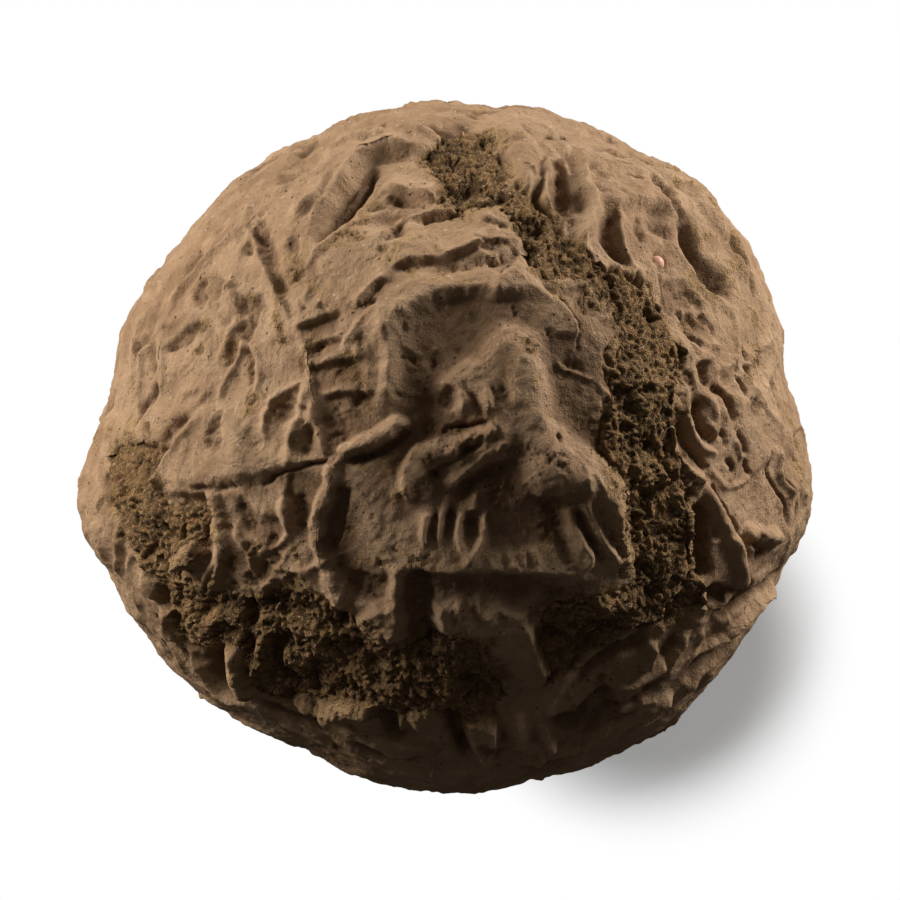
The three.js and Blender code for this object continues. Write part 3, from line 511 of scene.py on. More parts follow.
def press_line(height, dirt, stroke, directions, wobble):
    """Presses a stroke along its path into the heights, in pixels, and paints shade into what it sinks."""
    kind, rise, reach, path = stroke
    first, last = (reach, reach) if np.isscalar(reach) else reach
    pixels = smooth_path(path) if len(path) > 1 else np.array([path[0], (path[0][0] + 0.5, path[0][1])])
    vectors = directions_at(pixels)
    middle = vectors.sum(axis=0)
    axes = tangent_frame(middle / np.linalg.norm(middle))
    chain = flattened(vectors, axes) / MM_PER_PIXEL
    widest = max(first, last) * (FOLD_WIDTHS if kind == "fold" else STROKE_WIDTHS)
    near = near_to(directions, axes, (np.linalg.norm(chain, axis=1).max() + widest) * MM_PER_PIXEL)
    if not len(near):
        return
    frayed = 2 if kind == "pit" else 1
    flat = flattened(directions[near], axes) + wobble[near] * frayed
    off, share = path_distance(flat / MM_PER_PIXEL, chain)
    ends = 1 - END_LOSS * (1 - np.clip(np.minimum(share, 1 - share) / END_SHARE, 0, 1)) ** 2
    away = np.abs(off) / (first + (last - first) * share)
    # painted shade that the stroke leaves in its grooves, cracks, pits and below its folds
    sunk_shade = 0
    if kind == "swell":
        height[near] += rise * bell(away, SWELL_FALL)
    elif kind == "mound":
        risen = height[near] * MOUND_KEEPS + rise * (1 - away ** 2)
        height[near] = smooth_max(height[near], risen, max(1.0, rise * 0.35))
    elif kind == "ridge":
        height[near] += rise * ends * bell(away, RIDGE_FALL)
    elif kind == "groove":
        height[near] -= rise * ends * bell(away, RIDGE_FALL)
        sunk_shade = GROOVE_SHADE * bell(away, RIDGE_FALL)
    elif kind == "crack":
        height[near] -= rise * ends * bell(away, CRACK_FALL)
        sunk_shade = bell(away, 2)
    elif kind == "pit":
        bowl = 0.5 * smooth_step(1.3 - away, 0, 0.9) + 0.5 * bell(away, 1.3)
        height[near] -= rise * bowl
        sunk_shade = PIT_SHADE * bowl
    elif kind == "fold":
        # the left side of the path, as drawn, stands higher than its right side
        step = smooth_step(off, -first, first)
        raised = step * np.exp(-np.maximum(off - first, 0) / last)
        sunk = np.exp(-np.maximum(-off, 0) / first * 0.7) * 0.35 * (1 - step)
        ends = smooth_step(np.minimum(share, 1 - share), 0, FOLD_END_SHARE)
        height[near] += rise * ends * (raised - sunk)
        # the low side of a fold gets painted shade
        low = (1 - smooth_step(off, -first, first * 0.5)) * np.exp(-np.maximum(-off, 0) / first)
        sunk_shade = FOLD_SHADE * ends * low * min(1, rise / 6)
    dirt[near] = np.maximum(dirt[near], sunk_shade)


def press_all(strokes, directions, points):
    """The heights in millimetres that strokes press into the surface, and the painted shade in what they
    sink.
    """
    height = np.zeros(len(directions))
    dirt = np.zeros(len(directions))
    wobble = shifts(points, size=1.3, seeds=(11, 12), octaves=4, reach=0.2)
    for stroke in strokes:
        if stroke.kind == "table":
            press_table(height, stroke, directions, wobble)
        else:
            press_line(height, dirt, stroke, directions, wobble)
    return height * MM_PER_PIXEL, dirt


# The panel's field, with the frame above and at the right of the beast
FIELD = [
    swell(-9, 62, (478, 338), (442, 392), (440, 450), (470, 500), (530, 510), (578, 450), (568, 380)),
    fold(8.4, (7, 50), (372, 352), (386, 333), (402, 316), (424, 302), (442, 292), (472, 290), (500, 295),
        (530, 294), (552, 298)),
    fold(4.7, (5, 12), (560, 306), (548, 294), (534, 283), (520, 270), (510, 262)),
    ridge(4.7, 6.2, (516, 262), (530, 276), (543, 288), (556, 300)),
    fold(5.8, (2.5, 30), (581, 340), (579, 326), (572, 312), (563, 302), (553, 293)),
    crack(3, 1.5, (553, 288), (564, 299), (573, 312), (579, 325), (581, 347)),
    groove(4.7, (11.2, 14.6), (574, 300), (592, 306), (612, 309), (622, 322)),
    groove(3.2, 14.6, (612, 322), (632, 330)),
    mound(7.4, (10.1, 11.2), (556, 284), (575, 279), (600, 281), (622, 294), (640, 309), (654, 322)),
    crack(2.5, 1.5, (552, 285), (560, 281), (575, 279)),
    ridge(2.6, 5, (604, 318), (612, 311), (616, 304)),
    crack(5, 3, (613, 344), (607, 350), (608, 358), (614, 363), (622, 365)),
    ridge(2.6, 3.9, (604, 352), (608, 362), (617, 368), (628, 366)),
    groove(3.2, 5.6, (570, 361), (578, 364), (585, 370)),
    ridge(2.6, 2.8, (560, 361), (572, 368), (586, 374), (598, 381)),
    ridge(3.7, 3.9, (603, 384), (611, 393), (616, 406), (616, 422), (611, 438)),
    fold(3.7, (6, 16), (606, 440), (618, 420), (619, 400), (608, 384)),
    crack(1, 1.5, (398, 352), (408, 354), (412, 360), (421, 363)),
    pit(1.4, 3.8, (409, 357)),
    pit(1.1, 4.4, (431, 358)),
    pit(1.1, 3.1, (514, 306), (516, 310)),
    pit(0.7, 4.4, (552, 331)),
]

# The beast in the panel
BEAST = [
    table(14.3, 24, (500, 317), (517, 319), (532, 330), (546, 346), (554, 363), (558, 382), (561, 402),
        (566, 419), (576, 432), (590, 443), (606, 454), (618, 467), (627, 482), (631, 503), (633, 525),
        (640, 560), (632, 576), (618, 566), (608, 545), (601, 527), (592, 510), (578, 503), (560, 501),
        (545, 496), (534, 484), (528, 468), (514, 462), (498, 466), (484, 475), (472, 488), (460, 498),
        (446, 496), (438, 486), (442, 474), (452, 465), (464, 456), (474, 447), (482, 437), (487, 430),
        (474, 425), (452, 424), (443, 416), (441, 404), (433, 393), (428, 382), (433, 370), (443, 360),
        (455, 352), (468, 343), (480, 332), (489, 323)),
    swell(4, 16, (450, 372), (466, 362)),
    swell(-4, 20, (506, 372), (512, 402), (516, 430)),
    pit(6.1, (7.5, 8.1), (451, 389), (448, 399)),
    ridge(5.1, 6, (460, 388), (463, 398), (464, 410)),
    groove(4.1, (5.5, 4.5), (474, 394), (476, 404), (483, 414)),
    ridge(4.1, 4.5, (486, 386), (488, 398), (489, 410)),
    groove(2.8, 4.5, (495, 388), (497, 402)),
    groove(2.8, 5, (504, 386), (505, 396)),
    ridge(2.3, 4.5, (514, 386), (516, 404)),
    crack(1.5, 2, (460, 368), (466, 365), (470, 362)),
    crack(6.5, 3, (449, 424), (462, 425), (476, 424), (490, 420)),
    pit(2.5, 5.6, (483, 424)),
    pit(3.6, (6.9, 6.2), (448, 430), (449, 438)),
    pit(3.2, 6.9, (445, 446)),
    mound(8.7, (9, 7.5), (456, 448), (468, 440), (482, 434), (492, 428)),
    groove(4.6, 5, (462, 456), (474, 448), (482, 440)),
    ridge(4.1, 5, (444, 474), (456, 466), (468, 458), (480, 449), (489, 438), (496, 428)),
    groove(7.8, (9, 6.5), (461, 497), (472, 487), (486, 477), (502, 470), (520, 465)),
    groove(2.8, 13, (500, 446), (525, 452), (555, 460)),
    ridge(3.2, 7.5, (532, 453), (540, 450)),
    ridge(3.2, 7.5, (560, 424), (578, 442), (600, 460), (613, 480), (618, 505), (620, 530)),
    mound(12.9, 30, (552, 466), (576, 482)),
    groove(6.4, (12, 9), (548, 502), (568, 505), (584, 500)),
    swell(-3, 24, (510, 508), (545, 530)),
    crack(4, 3, (556, 433), (560, 440)),
    mound(9.2, (13, 16.5), (450, 448), (428, 454), (415, 468), (413, 486)),
    ridge(4.1, 6.5, (414, 448), (405, 462), (402, 480), (406, 497)),
    pit(6.1, (6.9, 8.1), (431, 478), (423, 487), (415, 495)),
    mound(9.7, (9, 11), (344, 452), (362, 444), (380, 434), (396, 424)),
    groove(9.2, (5.5, 7.5), (346, 463), (364, 457), (382, 450), (395, 440), (404, 427)),
    swell(-5, 18, (425, 400), (428, 425)),
    ridge(1.5, 2, (528, 440), (524, 452), (522, 464)),
    ridge(1.5, 2, (541, 470), (532, 478), (526, 490)),
    ridge(1.7, 2, (552, 452), (562, 462), (568, 474)),
    ridge(1.7, 2, (566, 448), (578, 460), (585, 474)),
    ridge(1.7, 2, (580, 452), (592, 466), (599, 482)),
    ridge(1.7, 2, (590, 470), (600, 484), (605, 500)),
    ridge(1.8, 2.5, (534, 462), (537, 474), (541, 482)),
    ridge(1.8, 2.5, (582, 474), (585, 484), (592, 492)),
    ridge(1.5, 2.2, (500, 490), (512, 498), (520, 508)),
    ridge(1.5, 2.2, (516, 486), (530, 496), (540, 508)),
    ridge(1.5, 2.2, (538, 492), (550, 502), (562, 512)),
]

# The fringe of strokes and the legs under the beast
FRINGE = [
    ridge(6.6, 5.5, (427, 514), (424, 528), (424, 546)),
    ridge(6.2, 4.5, (444, 506), (440, 524), (441, 545)),
    groove(4.3, 4.5, (434, 518), (433, 546)),
    groove(5.7, 5, (451, 514), (449, 540)),
    ridge(7.6, 5.5, (465, 512), (459, 528), (461, 546), (469, 557)),
    ridge(7.6, 6, (489, 513), (484, 530), (481, 544), (474, 554), (466, 564)),
    groove(6.6, 7.5, (473, 522), (472, 540)),
    ridge(6.2, 6.5, (478, 498), (474, 514)),
    ridge(3.3, 3.5, (508, 553), (511, 567)),
    ridge(3.3, 3.5, (522, 551), (525, 565)),
    ridge(3.3, 3.5, (533, 549), (537, 563)),
    ridge(2.4, 3.5, (515, 561), (519, 571)),
    ridge(7.1, 7, (569, 508), (573, 525), (579, 541), (588, 552), (589, 561), (582, 569)),
    ridge(7.6, 8, (586, 503), (592, 520), (600, 537), (610, 552), (617, 567)),
    groove(7.6, 5.5, (579, 512), (585, 530), (596, 546), (604, 560)),
    groove(5.7, 6.5, (602, 512), (610, 532), (621, 553)),
    groove(4.8, 10, (556, 520), (565, 545), (570, 565)),
]

# The ledge under the beast and the blocks below it
LEDGE = [
    fold(9.3, (4.5, 26), (384, 577), (404, 574), (430, 574), (460, 575), (490, 574), (530, 576), (570, 578),
        (605, 590)),
    groove(3.8, (12.3, 17.4), (440, 588), (480, 590), (530, 592), (580, 596)),
    pit(14, (12.5, 13.8), (418, 584), (418, 600), (420, 618), (419, 634)),
    table(7.6, 9, (384, 566), (404, 566), (408, 590), (404, 612), (402, 640), (385, 654), (366, 650),
        (352, 634), (352, 618), (372, 606), (386, 600), (386, 584)),
    pit(6.8, (11.2, 13.8), (356, 588), (374, 590)),
    fold(3.8, (3, 14), (382, 604), (362, 605), (346, 606)),
    table(7.6, 8, (434, 604), (460, 598), (480, 606), (505, 604), (530, 614), (536, 634), (520, 640),
        (490, 642), (460, 640), (440, 640), (432, 624)),
    ridge(2.1, 3.9, (440, 610), (444, 628)),
    ridge(2.1, 3.9, (458, 602), (462, 618)),
    ridge(2.1, 3.9, (488, 614), (494, 626)),
    ridge(2.1, 3.9, (510, 612), (518, 622)),
    groove(1.7, 3.9, (450, 604), (454, 622)),
    groove(1.7, 4.5, (474, 610), (480, 624)),
    groove(1.7, 3.9, (500, 612), (506, 624)),
    fold(8.5, (4, 14), (558, 686), (547, 674), (541, 658), (535, 642), (528, 626)),
    ridge(5.1, (5.6, 6.7), (529, 630), (537, 648), (541, 664), (547, 680)),
    groove(10.2, (14.6, 13.4), (552, 640), (558, 654), (562, 668)),
    groove(5.1, (17.9, 22.4), (500, 672), (506, 692)),
]

# The folds of the crown
CROWN_FOLDS = [
    fold(18, (8, 34), (312, 240), (320, 221), (335, 200), (349, 180), (362, 161), (378, 151), (404, 148),
        (434, 149)),
    groove(10.1, (5.6, 5), (319, 238), (333, 221), (346, 207), (361, 189), (374, 164)),
    ridge(5.1, 5.6, (300, 214), (316, 206), (324, 190), (334, 174), (344, 162)),
    groove(9.9, 4.5, (370, 119), (400, 122), (436, 122), (462, 126)),
    pit(3.5, 3.8, (380, 119), (381, 122)),
    pit(3.5, 3.8, (402, 121), (402, 125)),
    ridge(7, 6.7, (326, 138), (360, 129), (400, 128), (440, 131)),
    fold(8.4, (3.5, 12), (378, 180), (400, 184), (422, 189), (440, 192)),
    groove(4.4, (9, 7.8), (392, 190), (420, 196)),
    ridge(5.6, 3.9, (394, 214), (416, 209), (436, 202), (456, 197)),
    groove(5, (4.5, 5.6), (418, 214), (436, 209), (454, 204)),
    pit(5.8, (6.2, 9.4), (386, 234), (398, 226)),
    ridge(4.4, 3.4, (380, 237), (384, 227), (394, 218)),
    fold(8.8, (4, 18), (386, 278), (396, 265), (412, 259), (438, 258), (460, 250), (484, 244), (510, 240),
        (526, 238)),
    groove(5.6, (6.7, 9), (440, 266), (470, 264), (500, 260)),
    pit(4.3, (8.8, 7.5), (500, 264), (513, 252)),
    fold(7.5, (3.5, 12), (356, 312), (366, 295), (380, 281), (394, 277)),
    crack(5, 2.2, (356, 311), (364, 304), (374, 299)),
    ridge(5.6, 6.7, (496, 293), (502, 277), (512, 266)),
    crack(3.5, 2, (476, 235), (486, 241), (506, 240)),
    mound(5, (13.4, 11.2), (478, 224), (492, 208)),
    groove(3.8, 5.6, (486, 222), (504, 222)),
    pit(1.4, 3.8, (363, 229)),
    pit(1.4, 3.8, (352, 228)),
    swell(5, 22, (360, 236), (420, 236)),
    ridge(2.5, 4.5, (392, 312), (400, 302), (404, 312)),
]

# The worn figures on the left slab and on the left rim
LEFT_FIGURES = [
    ridge(6.2, 6.7, (266, 198), (250, 212), (232, 227), (213, 243), (196, 262), (180, 280), (165, 300)),
    swell(3, 16, (262, 190), (230, 214), (200, 244)),
    ridge(5.1, 5, (243, 221), (251, 241), (259, 260), (268, 280), (277, 300), (286, 317)),
    groove(4.6, (10.1, 6.7), (257, 222), (264, 240), (272, 262), (283, 290)),
    pit(4.9, (8.8, 6.2), (255, 220), (260, 236)),
    fold(5.8, (5, 18), (284, 224), (300, 218), (313, 212), (320, 198), (328, 178), (342, 160)),
    ridge(2.6, 5.6, (309, 232), (316, 252), (330, 278), (344, 302)),
    pit(6.8, 7.5, (195, 280), (191, 292), (197, 300)),
    mound(5.3, (10.1, 9), (222, 286), (229, 302)),
    pit(4.5, (12.5, 10), (241, 298), (247, 306), (243, 320)),
    pit(4.1, (8.8, 7.5), (236, 322), (240, 332)),
    pit(3, 6.2, (253, 296), (258, 302)),
    pit(6.8, (11.2, 7.5), (184, 328), (176, 336), (166, 344)),
    ridge(4.3, 5.6, (226, 318), (221, 334), (213, 356)),
    ridge(5.1, 4.5, (236, 340), (230, 356), (222, 376), (213, 398)),
    groove(3.6, 4.5, (238, 342), (243, 358), (245, 382)),
    groove(1.8, 6.7, (226, 346), (218, 364)),
    ridge(5.4, 6.7, (156, 332), (158, 356), (157, 390)),
    ridge(6.2, 6.7, (138, 350), (134, 376), (130, 408)),
    groove(5.4, 6.7, (146, 344), (146, 372)),
    pit(9.3, (7.5, 8.8), (147, 388), (143, 398)),
    pit(5.8, 6.2, (136, 406), (133, 414)),
    pit(5.8, 6.2, (128, 346)),
    fold(5.4, (5, 14), (120, 410), (124, 380), (127, 350), (138, 318), (150, 300)),
    pit(1, 3.1, (297, 305)),
    pit(1.3, 3.1, (318, 301), (322, 307)),
    ridge(5.1, 5, (262, 436), (262, 418), (268, 401), (281, 389), (299, 381)),
    groove(3, (10.1, 7.8), (290, 396), (280, 410), (276, 426)),
    ridge(6, 6.2, (302, 383), (300, 402), (294, 422), (288, 448)),
    groove(4.2, (5.6, 6.7), (308, 424), (308, 440), (304, 454)),
    table(6.9, 10, (204, 404), (226, 408), (246, 428), (262, 444), (300, 452), (330, 458), (322, 464),
        (290, 470), (264, 481), (236, 483), (212, 490), (196, 497), (180, 500), (158, 494), (158, 474),
        (166, 450), (180, 426)),
    pit(4.1, (7.5, 8.8), (216, 418), (213, 432), (217, 444)),
    ridge(5.3, 7.8, (202, 406), (190, 424), (178, 442), (168, 462), (158, 488)),
    groove(4.6, 6.7, (182, 418), (166, 428), (160, 446), (158, 462)),
    groove(2.4, 3.9, (190, 486), (210, 489), (236, 484)),
    crack(6, 3, (262, 484), (275, 476), (290, 470), (306, 465), (330, 462)),
    mound(8.6, (11.2, 10.1), (212, 498), (217, 520), (222, 545), (214, 568), (203, 594)),
    groove(4.2, (9, 7.8), (236, 506), (244, 520), (250, 534)),
    ridge(6, 5.6, (232, 526), (240, 544), (247, 558), (252, 574)),
    pit(4.1, 10, (272, 548), (267, 564), (256, 578)),
    pit(3, 6.2, (249, 580), (252, 588)),
    ridge(3.4, 3.9, (256, 591), (268, 584), (280, 581)),
    mound(6.9, (11.2, 10.1), (284, 508), (284, 524)),
    pit(4.5, (7.5, 10), (298, 506), (299, 524)),
    mound(8.6, (9, 10.1), (331, 466), (328, 486), (319, 506), (315, 526), (317, 548)),
    mound(6.9, (10.1, 14.6), (318, 546), (324, 566), (330, 590), (338, 606)),
    pit(7.8, 7.5, (342, 496), (338, 514), (332, 532), (326, 546)),
    mound(12.7, (13.4, 11.2), (185, 556), (198, 546)),
    fold(10.4, (2.5, 8), (181, 570), (190, 566), (201, 560), (209, 550)),
    groove(5.8, 3.4, (214, 566), (208, 582), (200, 597)),
    groove(3.6, (4.5, 5.6), (184, 498), (196, 500), (208, 499)),
    ridge(4.6, 3.4, (154, 498), (160, 510), (170, 520), (182, 526)),
    mound(5.8, 10.1, (188, 578), (196, 588)),
    swell(5, 26, (240, 430), (240, 470)),
    swell(-5, 24, (345, 520), (350, 570)),
]

# The short bars, one over the other, at the panel's left
BARS = [
    fold(-6.8, (3.5, 15), (342, 307), (326, 310), (306, 318), (288, 326)),
    fold(-6.8, (3.5, 14), (344, 333), (326, 335), (312, 341), (300, 352)),
    fold(-7.8, (3.5, 18), (366, 354), (344, 358), (320, 362), (298, 366)),
    fold(-7.8, (4, 18), (378, 390), (352, 391), (330, 393), (312, 396)),
    ridge(3.9, 5.6, (296, 322), (300, 344), (305, 370), (310, 396), (316, 424), (324, 452)),
    groove(4.9, 13.4, (334, 414), (340, 436)),
    ridge(6.8, 10.1, (380, 312), (387, 338), (388, 366), (384, 396)),
    groove(2.9, 7.8, (354, 340), (366, 332)),
]

# The folds of the shoulder
SHOULDER_FOLDS = [
    ridge(11.3, 5.6, (549, 156), (545, 174), (546, 190), (552, 202), (560, 209)),
    groove(8.1, (5.6, 6.7), (541, 168), (538, 186), (542, 204)),
    groove(8.1, (6.7, 10.1), (562, 172), (562, 188), (566, 202)),
    ridge(5.8, 3.4, (562, 158), (569, 172)),
    ridge(11.3, 7.8, (580, 146), (583, 168), (588, 188), (594, 208), (588, 226), (583, 240), (590, 254)),
    mound(8.6, (22.4, 16.8), (505, 128), (525, 146), (532, 176)),
    groove(5.8, 9, (548, 134), (568, 136)),
    ridge(4.1, 4.5, (526, 178), (534, 192), (540, 204)),
    pit(2.4, (3.8, 3.1), (527, 168), (533, 176)),
    groove(3.6, 6.7, (574, 214), (573, 232)),
]

# The upper right slab
UPPER_RIGHT_PITS = [
    groove(9.9, (9, 7.8), (615, 216), (607, 227), (612, 243), (626, 258)),
    fold(7, (7, 20), (606, 216), (622, 209), (648, 208), (668, 214), (684, 224)),
    ridge(7.7, 5.6, (619, 214), (620, 232), (625, 248), (636, 262)),
    ridge(4.4, 10.1, (636, 262), (650, 284), (664, 308), (678, 334), (692, 352)),
    groove(4.4, 5.6, (637, 220), (640, 236)),
    groove(7, 9, (650, 226), (670, 232)),
    pit(8, (7.5, 6.2), (650, 186), (660, 192)),
    pit(10.4, (10, 8.8), (663, 194), (668, 206), (675, 213)),
    groove(24.6, (10.1, 14.6), (684, 222), (692, 244), (704, 261), (716, 272), (730, 288)),
    mound(8, (15.7, 13.4), (690, 200), (706, 224), (726, 248), (738, 272)),
    groove(8.8, 3.9, (722, 243), (730, 258), (738, 272)),
    pit(6.9, 5, (736, 250), (742, 262)),
    pit(6.9, 5, (746, 276), (751, 290)),
    groove(8.8, 6.7, (598, 144), (620, 154), (646, 166), (680, 182)),
    pit(4.6, 4.4, (618, 163), (624, 164)),
    pit(2.9, 3.8, (628, 177), (637, 181)),
    pit(5.8, 7.5, (690, 296), (700, 293), (708, 299)),
    pit(5, 6.2, (690, 310), (697, 320)),
    pit(4.3, 5.6, (700, 311), (709, 322)),
    pit(4.3, 5, (712, 314), (721, 326)),
    pit(4.3, 5, (696, 331), (703, 337)),
    pit(3.6, 5, (704, 333), (710, 341)),
    fold(6.6, (2.5, 8), (720, 351), (708, 357), (699, 353), (696, 338)),
    ridge(3.3, 3.9, (703, 330), (716, 340), (728, 344)),
    crack(5, 3, (640, 272), (642, 284), (650, 296)),
    pit(2.9, 8.8, (664, 256), (663, 258)),
    groove(8.8, 5, (764, 340), (770, 364)),
    pit(3.5, 4.4, (750, 348), (754, 356)),
    pit(3.5, 4.4, (740, 356), (742, 364)),
    groove(2.2, 2.2, (650, 270), (660, 300)),
    groove(2.2, 2.2, (664, 268), (676, 306)),
    crack(1.5, 1.2, (668, 279), (684, 276)),
]

# The right slab, with its ring
RIGHT_RING = [
    mound(9.9, 14.6, (711, 404), (714, 428)),
    groove(6.6, 5.6, (703, 400), (701, 418), (707, 434), (720, 443)),
    groove(9.9, (5.6, 6.7), (716, 386), (727, 392), (734, 404), (738, 418)),
    ridge(5.5, 5.6, (694, 392), (690, 410), (694, 432), (706, 448), (722, 456)),
    groove(5.5, 5.6, (682, 416), (687, 438), (699, 457), (715, 476)),
    pit(5.8, 5.6, (706, 364), (709, 380)),
    pit(3.6, 6.2, (692, 374), (696, 386)),
    pit(2.2, 5, (686, 398), (688, 406)),
    groove(8.8, 5.6, (752, 366), (760, 378)),
    groove(7, 4.5, (745, 378), (753, 394)),
    pit(4.6, 10, (760, 406)),
    pit(3.6, 4.4, (729, 434), (731, 442)),
    groove(4.4, 3.9, (734, 458), (741, 472)),
    groove(7, 3.9, (749, 462), (756, 475)),
    groove(5.3, 5.6, (744, 434), (752, 454)),
    ridge(3.3, 4.5, (740, 440), (746, 460)),
    fold(7.7, (4, 20), (716, 492), (706, 479), (692, 466), (683, 450), (678, 428), (677, 402), (682, 372)),
    crack(8, 2.5, (772, 452), (770, 472), (776, 492), (780, 506), (779, 520)),
    ridge(6.2, 4.5, (780, 452), (778, 474), (784, 494)),
    crack(6.4, 2.5, (782, 479), (786, 490)),
    crack(6.4, 2.5, (787, 502), (782, 524)),
    crack(10, 3.5, (717, 488), (722, 502), (730, 514), (737, 528), (738, 544)),
    pit(16, (8.8, 11.2), (700, 514), (703, 530), (706, 548), (706, 570)),
    mound(9.9, (9, 10.1), (710, 494), (722, 516), (732, 540), (738, 562), (740, 584)),
    mound(9.9, (10.1, 11.2), (682, 498), (687, 520), (687, 548), (682, 574)),
    pit(5.8, (7.5, 10), (754, 538), (758, 552)),
    mound(10.6, 9, (748, 532), (770, 536)),
    groove(5.3, 4.5, (738, 540), (748, 556)),
    pit(1.4, 3.8, (735, 486)),
]

# The lower right slab
LOWER_RIGHT_FOLDS = [
    groove(23.6, (6.7, 9), (774, 571), (762, 583), (748, 596), (730, 612), (712, 628)),
    pit(12, (8.8, 11.2), (711, 592), (726, 596), (742, 588)),
    pit(12, 6.2, (689, 582), (687, 591)),
    pit(12, 6.2, (682, 598), (677, 606), (672, 616)),
    ridge(13.5, 6.7, (700, 576), (700, 594), (696, 612), (684, 630)),
    ridge(11.9, 6.7, (768, 588), (752, 604), (738, 620), (720, 640), (700, 658)),
    groove(11.9, 5.6, (756, 606), (738, 628), (716, 648), (694, 666), (672, 690)),
    ridge(10.1, 6.7, (736, 636), (716, 658), (694, 676), (670, 700)),
    ridge(8.5, 3.9, (560, 684), (572, 678), (586, 665), (602, 652), (622, 636), (648, 625), (670, 618)),
    groove(11.9, 10.1, (650, 640), (626, 656), (604, 672), (584, 690)),
    mound(11.9, (7.8, 9), (652, 650), (648, 666)),
    mound(11.9, (11.2, 7.8), (622, 688), (642, 680), (660, 668)),
    groove(10.1, 6.7, (662, 682), (640, 700), (612, 716), (590, 736)),
    ridge(8.5, 6.7, (606, 744), (640, 716), (672, 692)),
    groove(8.5, 9, (680, 640), (664, 660)),
    ridge(8.5, 5.6, (690, 638), (676, 656), (664, 676)),
    pit(6.2, 8.8, (604, 700), (590, 712)),
]

# The lower slab
LOWER_FOLDS = [
    table(19.5, 8, (461, 718), (478, 716), (498, 724), (502, 742), (495, 757), (486, 768), (477, 765),
        (469, 745)),
    groove(13, 7.8, (450, 712), (457, 736), (466, 762)),
    ridge(8.1, 4.5, (463, 720), (468, 740), (476, 760)),
    pit(4.5, 5, (484, 738), (487, 744)),
    mound(17.9, 9, (545, 734), (550, 744)),
    ridge(9.8, 4.5, (402, 720), (400, 732), (394, 744)),
    mound(14.6, (14.6, 12.3), (326, 720), (350, 712), (372, 716)),
    groove(14.6, 10.1, (376, 714), (390, 728), (396, 744)),
    ridge(9.8, 6.7, (254, 690), (276, 702), (302, 716), (336, 732)),
    groove(8.1, 6.7, (262, 712), (292, 728), (324, 744)),
    ridge(6.5, 5.6, (300, 734), (330, 748), (370, 762)),
    ridge(6.5, 2.8, (400, 751), (424, 752), (433, 756), (434, 768), (432, 783)),
    mound(11.4, (20.2, 15.7), (420, 716), (432, 734)),
    ridge(9.8, 4.5, (496, 766), (530, 762), (562, 754), (590, 744), (616, 726)),
    groove(9.8, 4.5, (500, 772), (540, 768), (586, 754)),
    groove(6.5, 6.7, (350, 752), (390, 766), (420, 768)),
    mound(9.8, (15.7, 13.4), (516, 724), (522, 744)),
    groove(14.6, 10.1, (560, 726), (580, 728), (596, 722)),
    crack(5, 3, (396, 686), (420, 694), (440, 700), (458, 712)),
]

# The lower left slab
LOWER_LEFT_FOLDS = [
    mound(8.5, (29.7, 24.6), (98, 476), (104, 510), (112, 540)),
    pit(6.9, (10, 8.8), (112, 482), (117, 498)),
    pit(6.9, 6.2, (121, 468), (124, 476)),
    pit(15.4, 7.5, (131, 494), (132, 499)),
    ridge(7, 3.4, (122, 498), (124, 488), (132, 482), (141, 486), (144, 497), (138, 507)),
    pit(6.8, 6.2, (149, 474), (152, 480)),
    ridge(5.6, 3.4, (148, 484), (144, 494), (140, 502)),
    ridge(7, 7.8, (131, 526), (128, 546), (126, 568)),
    mound(7, (11.2, 13.4), (148, 564), (154, 584)),
    pit(9.3, (3.8, 6.2), (149, 582), (152, 592)),
    pit(10.4, (6.2, 7.5), (165, 592), (168, 604)),
    pit(4.6, 5, (134, 576), (136, 583)),
    groove(8.5, (3.4, 4.5), (178, 586), (180, 598), (176, 610)),
    ridge(7, (7.8, 10.1), (172, 604), (170, 622), (176, 640)),
    pit(4.6, 5, (160, 618), (164, 626)),
    pit(8, (5, 6.2), (168, 642), (173, 655)),
    groove(5.6, (5.6, 6.7), (182, 650), (192, 664)),
    ridge(7, (5.6, 6.7), (190, 654), (202, 674), (218, 694), (236, 706)),
    groove(18.2, (9, 12.3), (219, 650), (212, 664), (214, 678), (228, 694)),
    mound(14.1, (10.1, 14.6), (231, 656), (238, 676), (242, 694)),
    ridge(8.5, (5.6, 4.5), (246, 670), (256, 681), (266, 691), (280, 698)),
]

# The holes and heaps of the grit between the slabs
GRIT_HOLES = [
    pit(16, (9, 10), (270, 650), (269, 666), (275, 680), (283, 687)),
    pit(12, (6, 7), (305, 686), (311, 700)),
    pit(13, (5, 7), (243, 600), (245, 614), (243, 628)),
    pit(11, (7, 5), (226, 634), (236, 638), (244, 654)),
    pit(8, (4, 5), (196, 614), (206, 610), (218, 612)),
    pit(8, (6, 5), (262, 606), (276, 608)),
    pit(10, (4, 5), (339, 617), (338, 632)),
    pit(6, 5, (330, 660), (338, 672)),
    pit(6, 5, (190, 642), (192, 654)),
    pit(8, 5, (162, 558), (167, 566)),
    pit(8, 5, (150, 534), (158, 546)),
    pit(9, (5, 4), (170, 526), (174, 536)),
    pit(9, 4, (187, 528), (188, 537)),
    pit(4.5, 8, (538, 226), (540, 230)),
    pit(3.5, 6, (536, 270)),
    pit(4, 7, (558, 222), (562, 230)),
    pit(3, 6, (452, 152)),
    pit(9, 12, (470, 690), (486, 704)),
    pit(6, 9, (556, 636), (564, 646)),
    pit(2.5, 7, (650, 448), (664, 458)),
    pit(2.5, 7, (658, 484), (672, 492)),
    mound(7, (13, 10), (645, 470), (655, 484)),
    mound(6, (10, 7.5), (662, 472), (668, 480)),
    mound(7.5, 14.5, (600, 612), (640, 604)),
    mound(5, 11, (290, 632), (330, 650)),
    mound(6, (6, 7), (254, 654), (254, 674)),
    mound(5, 8, (212, 624), (204, 632)),
    mound(6, 9, (556, 696), (560, 716)),
    mound(4, 12, (430, 664), (456, 672)),
]

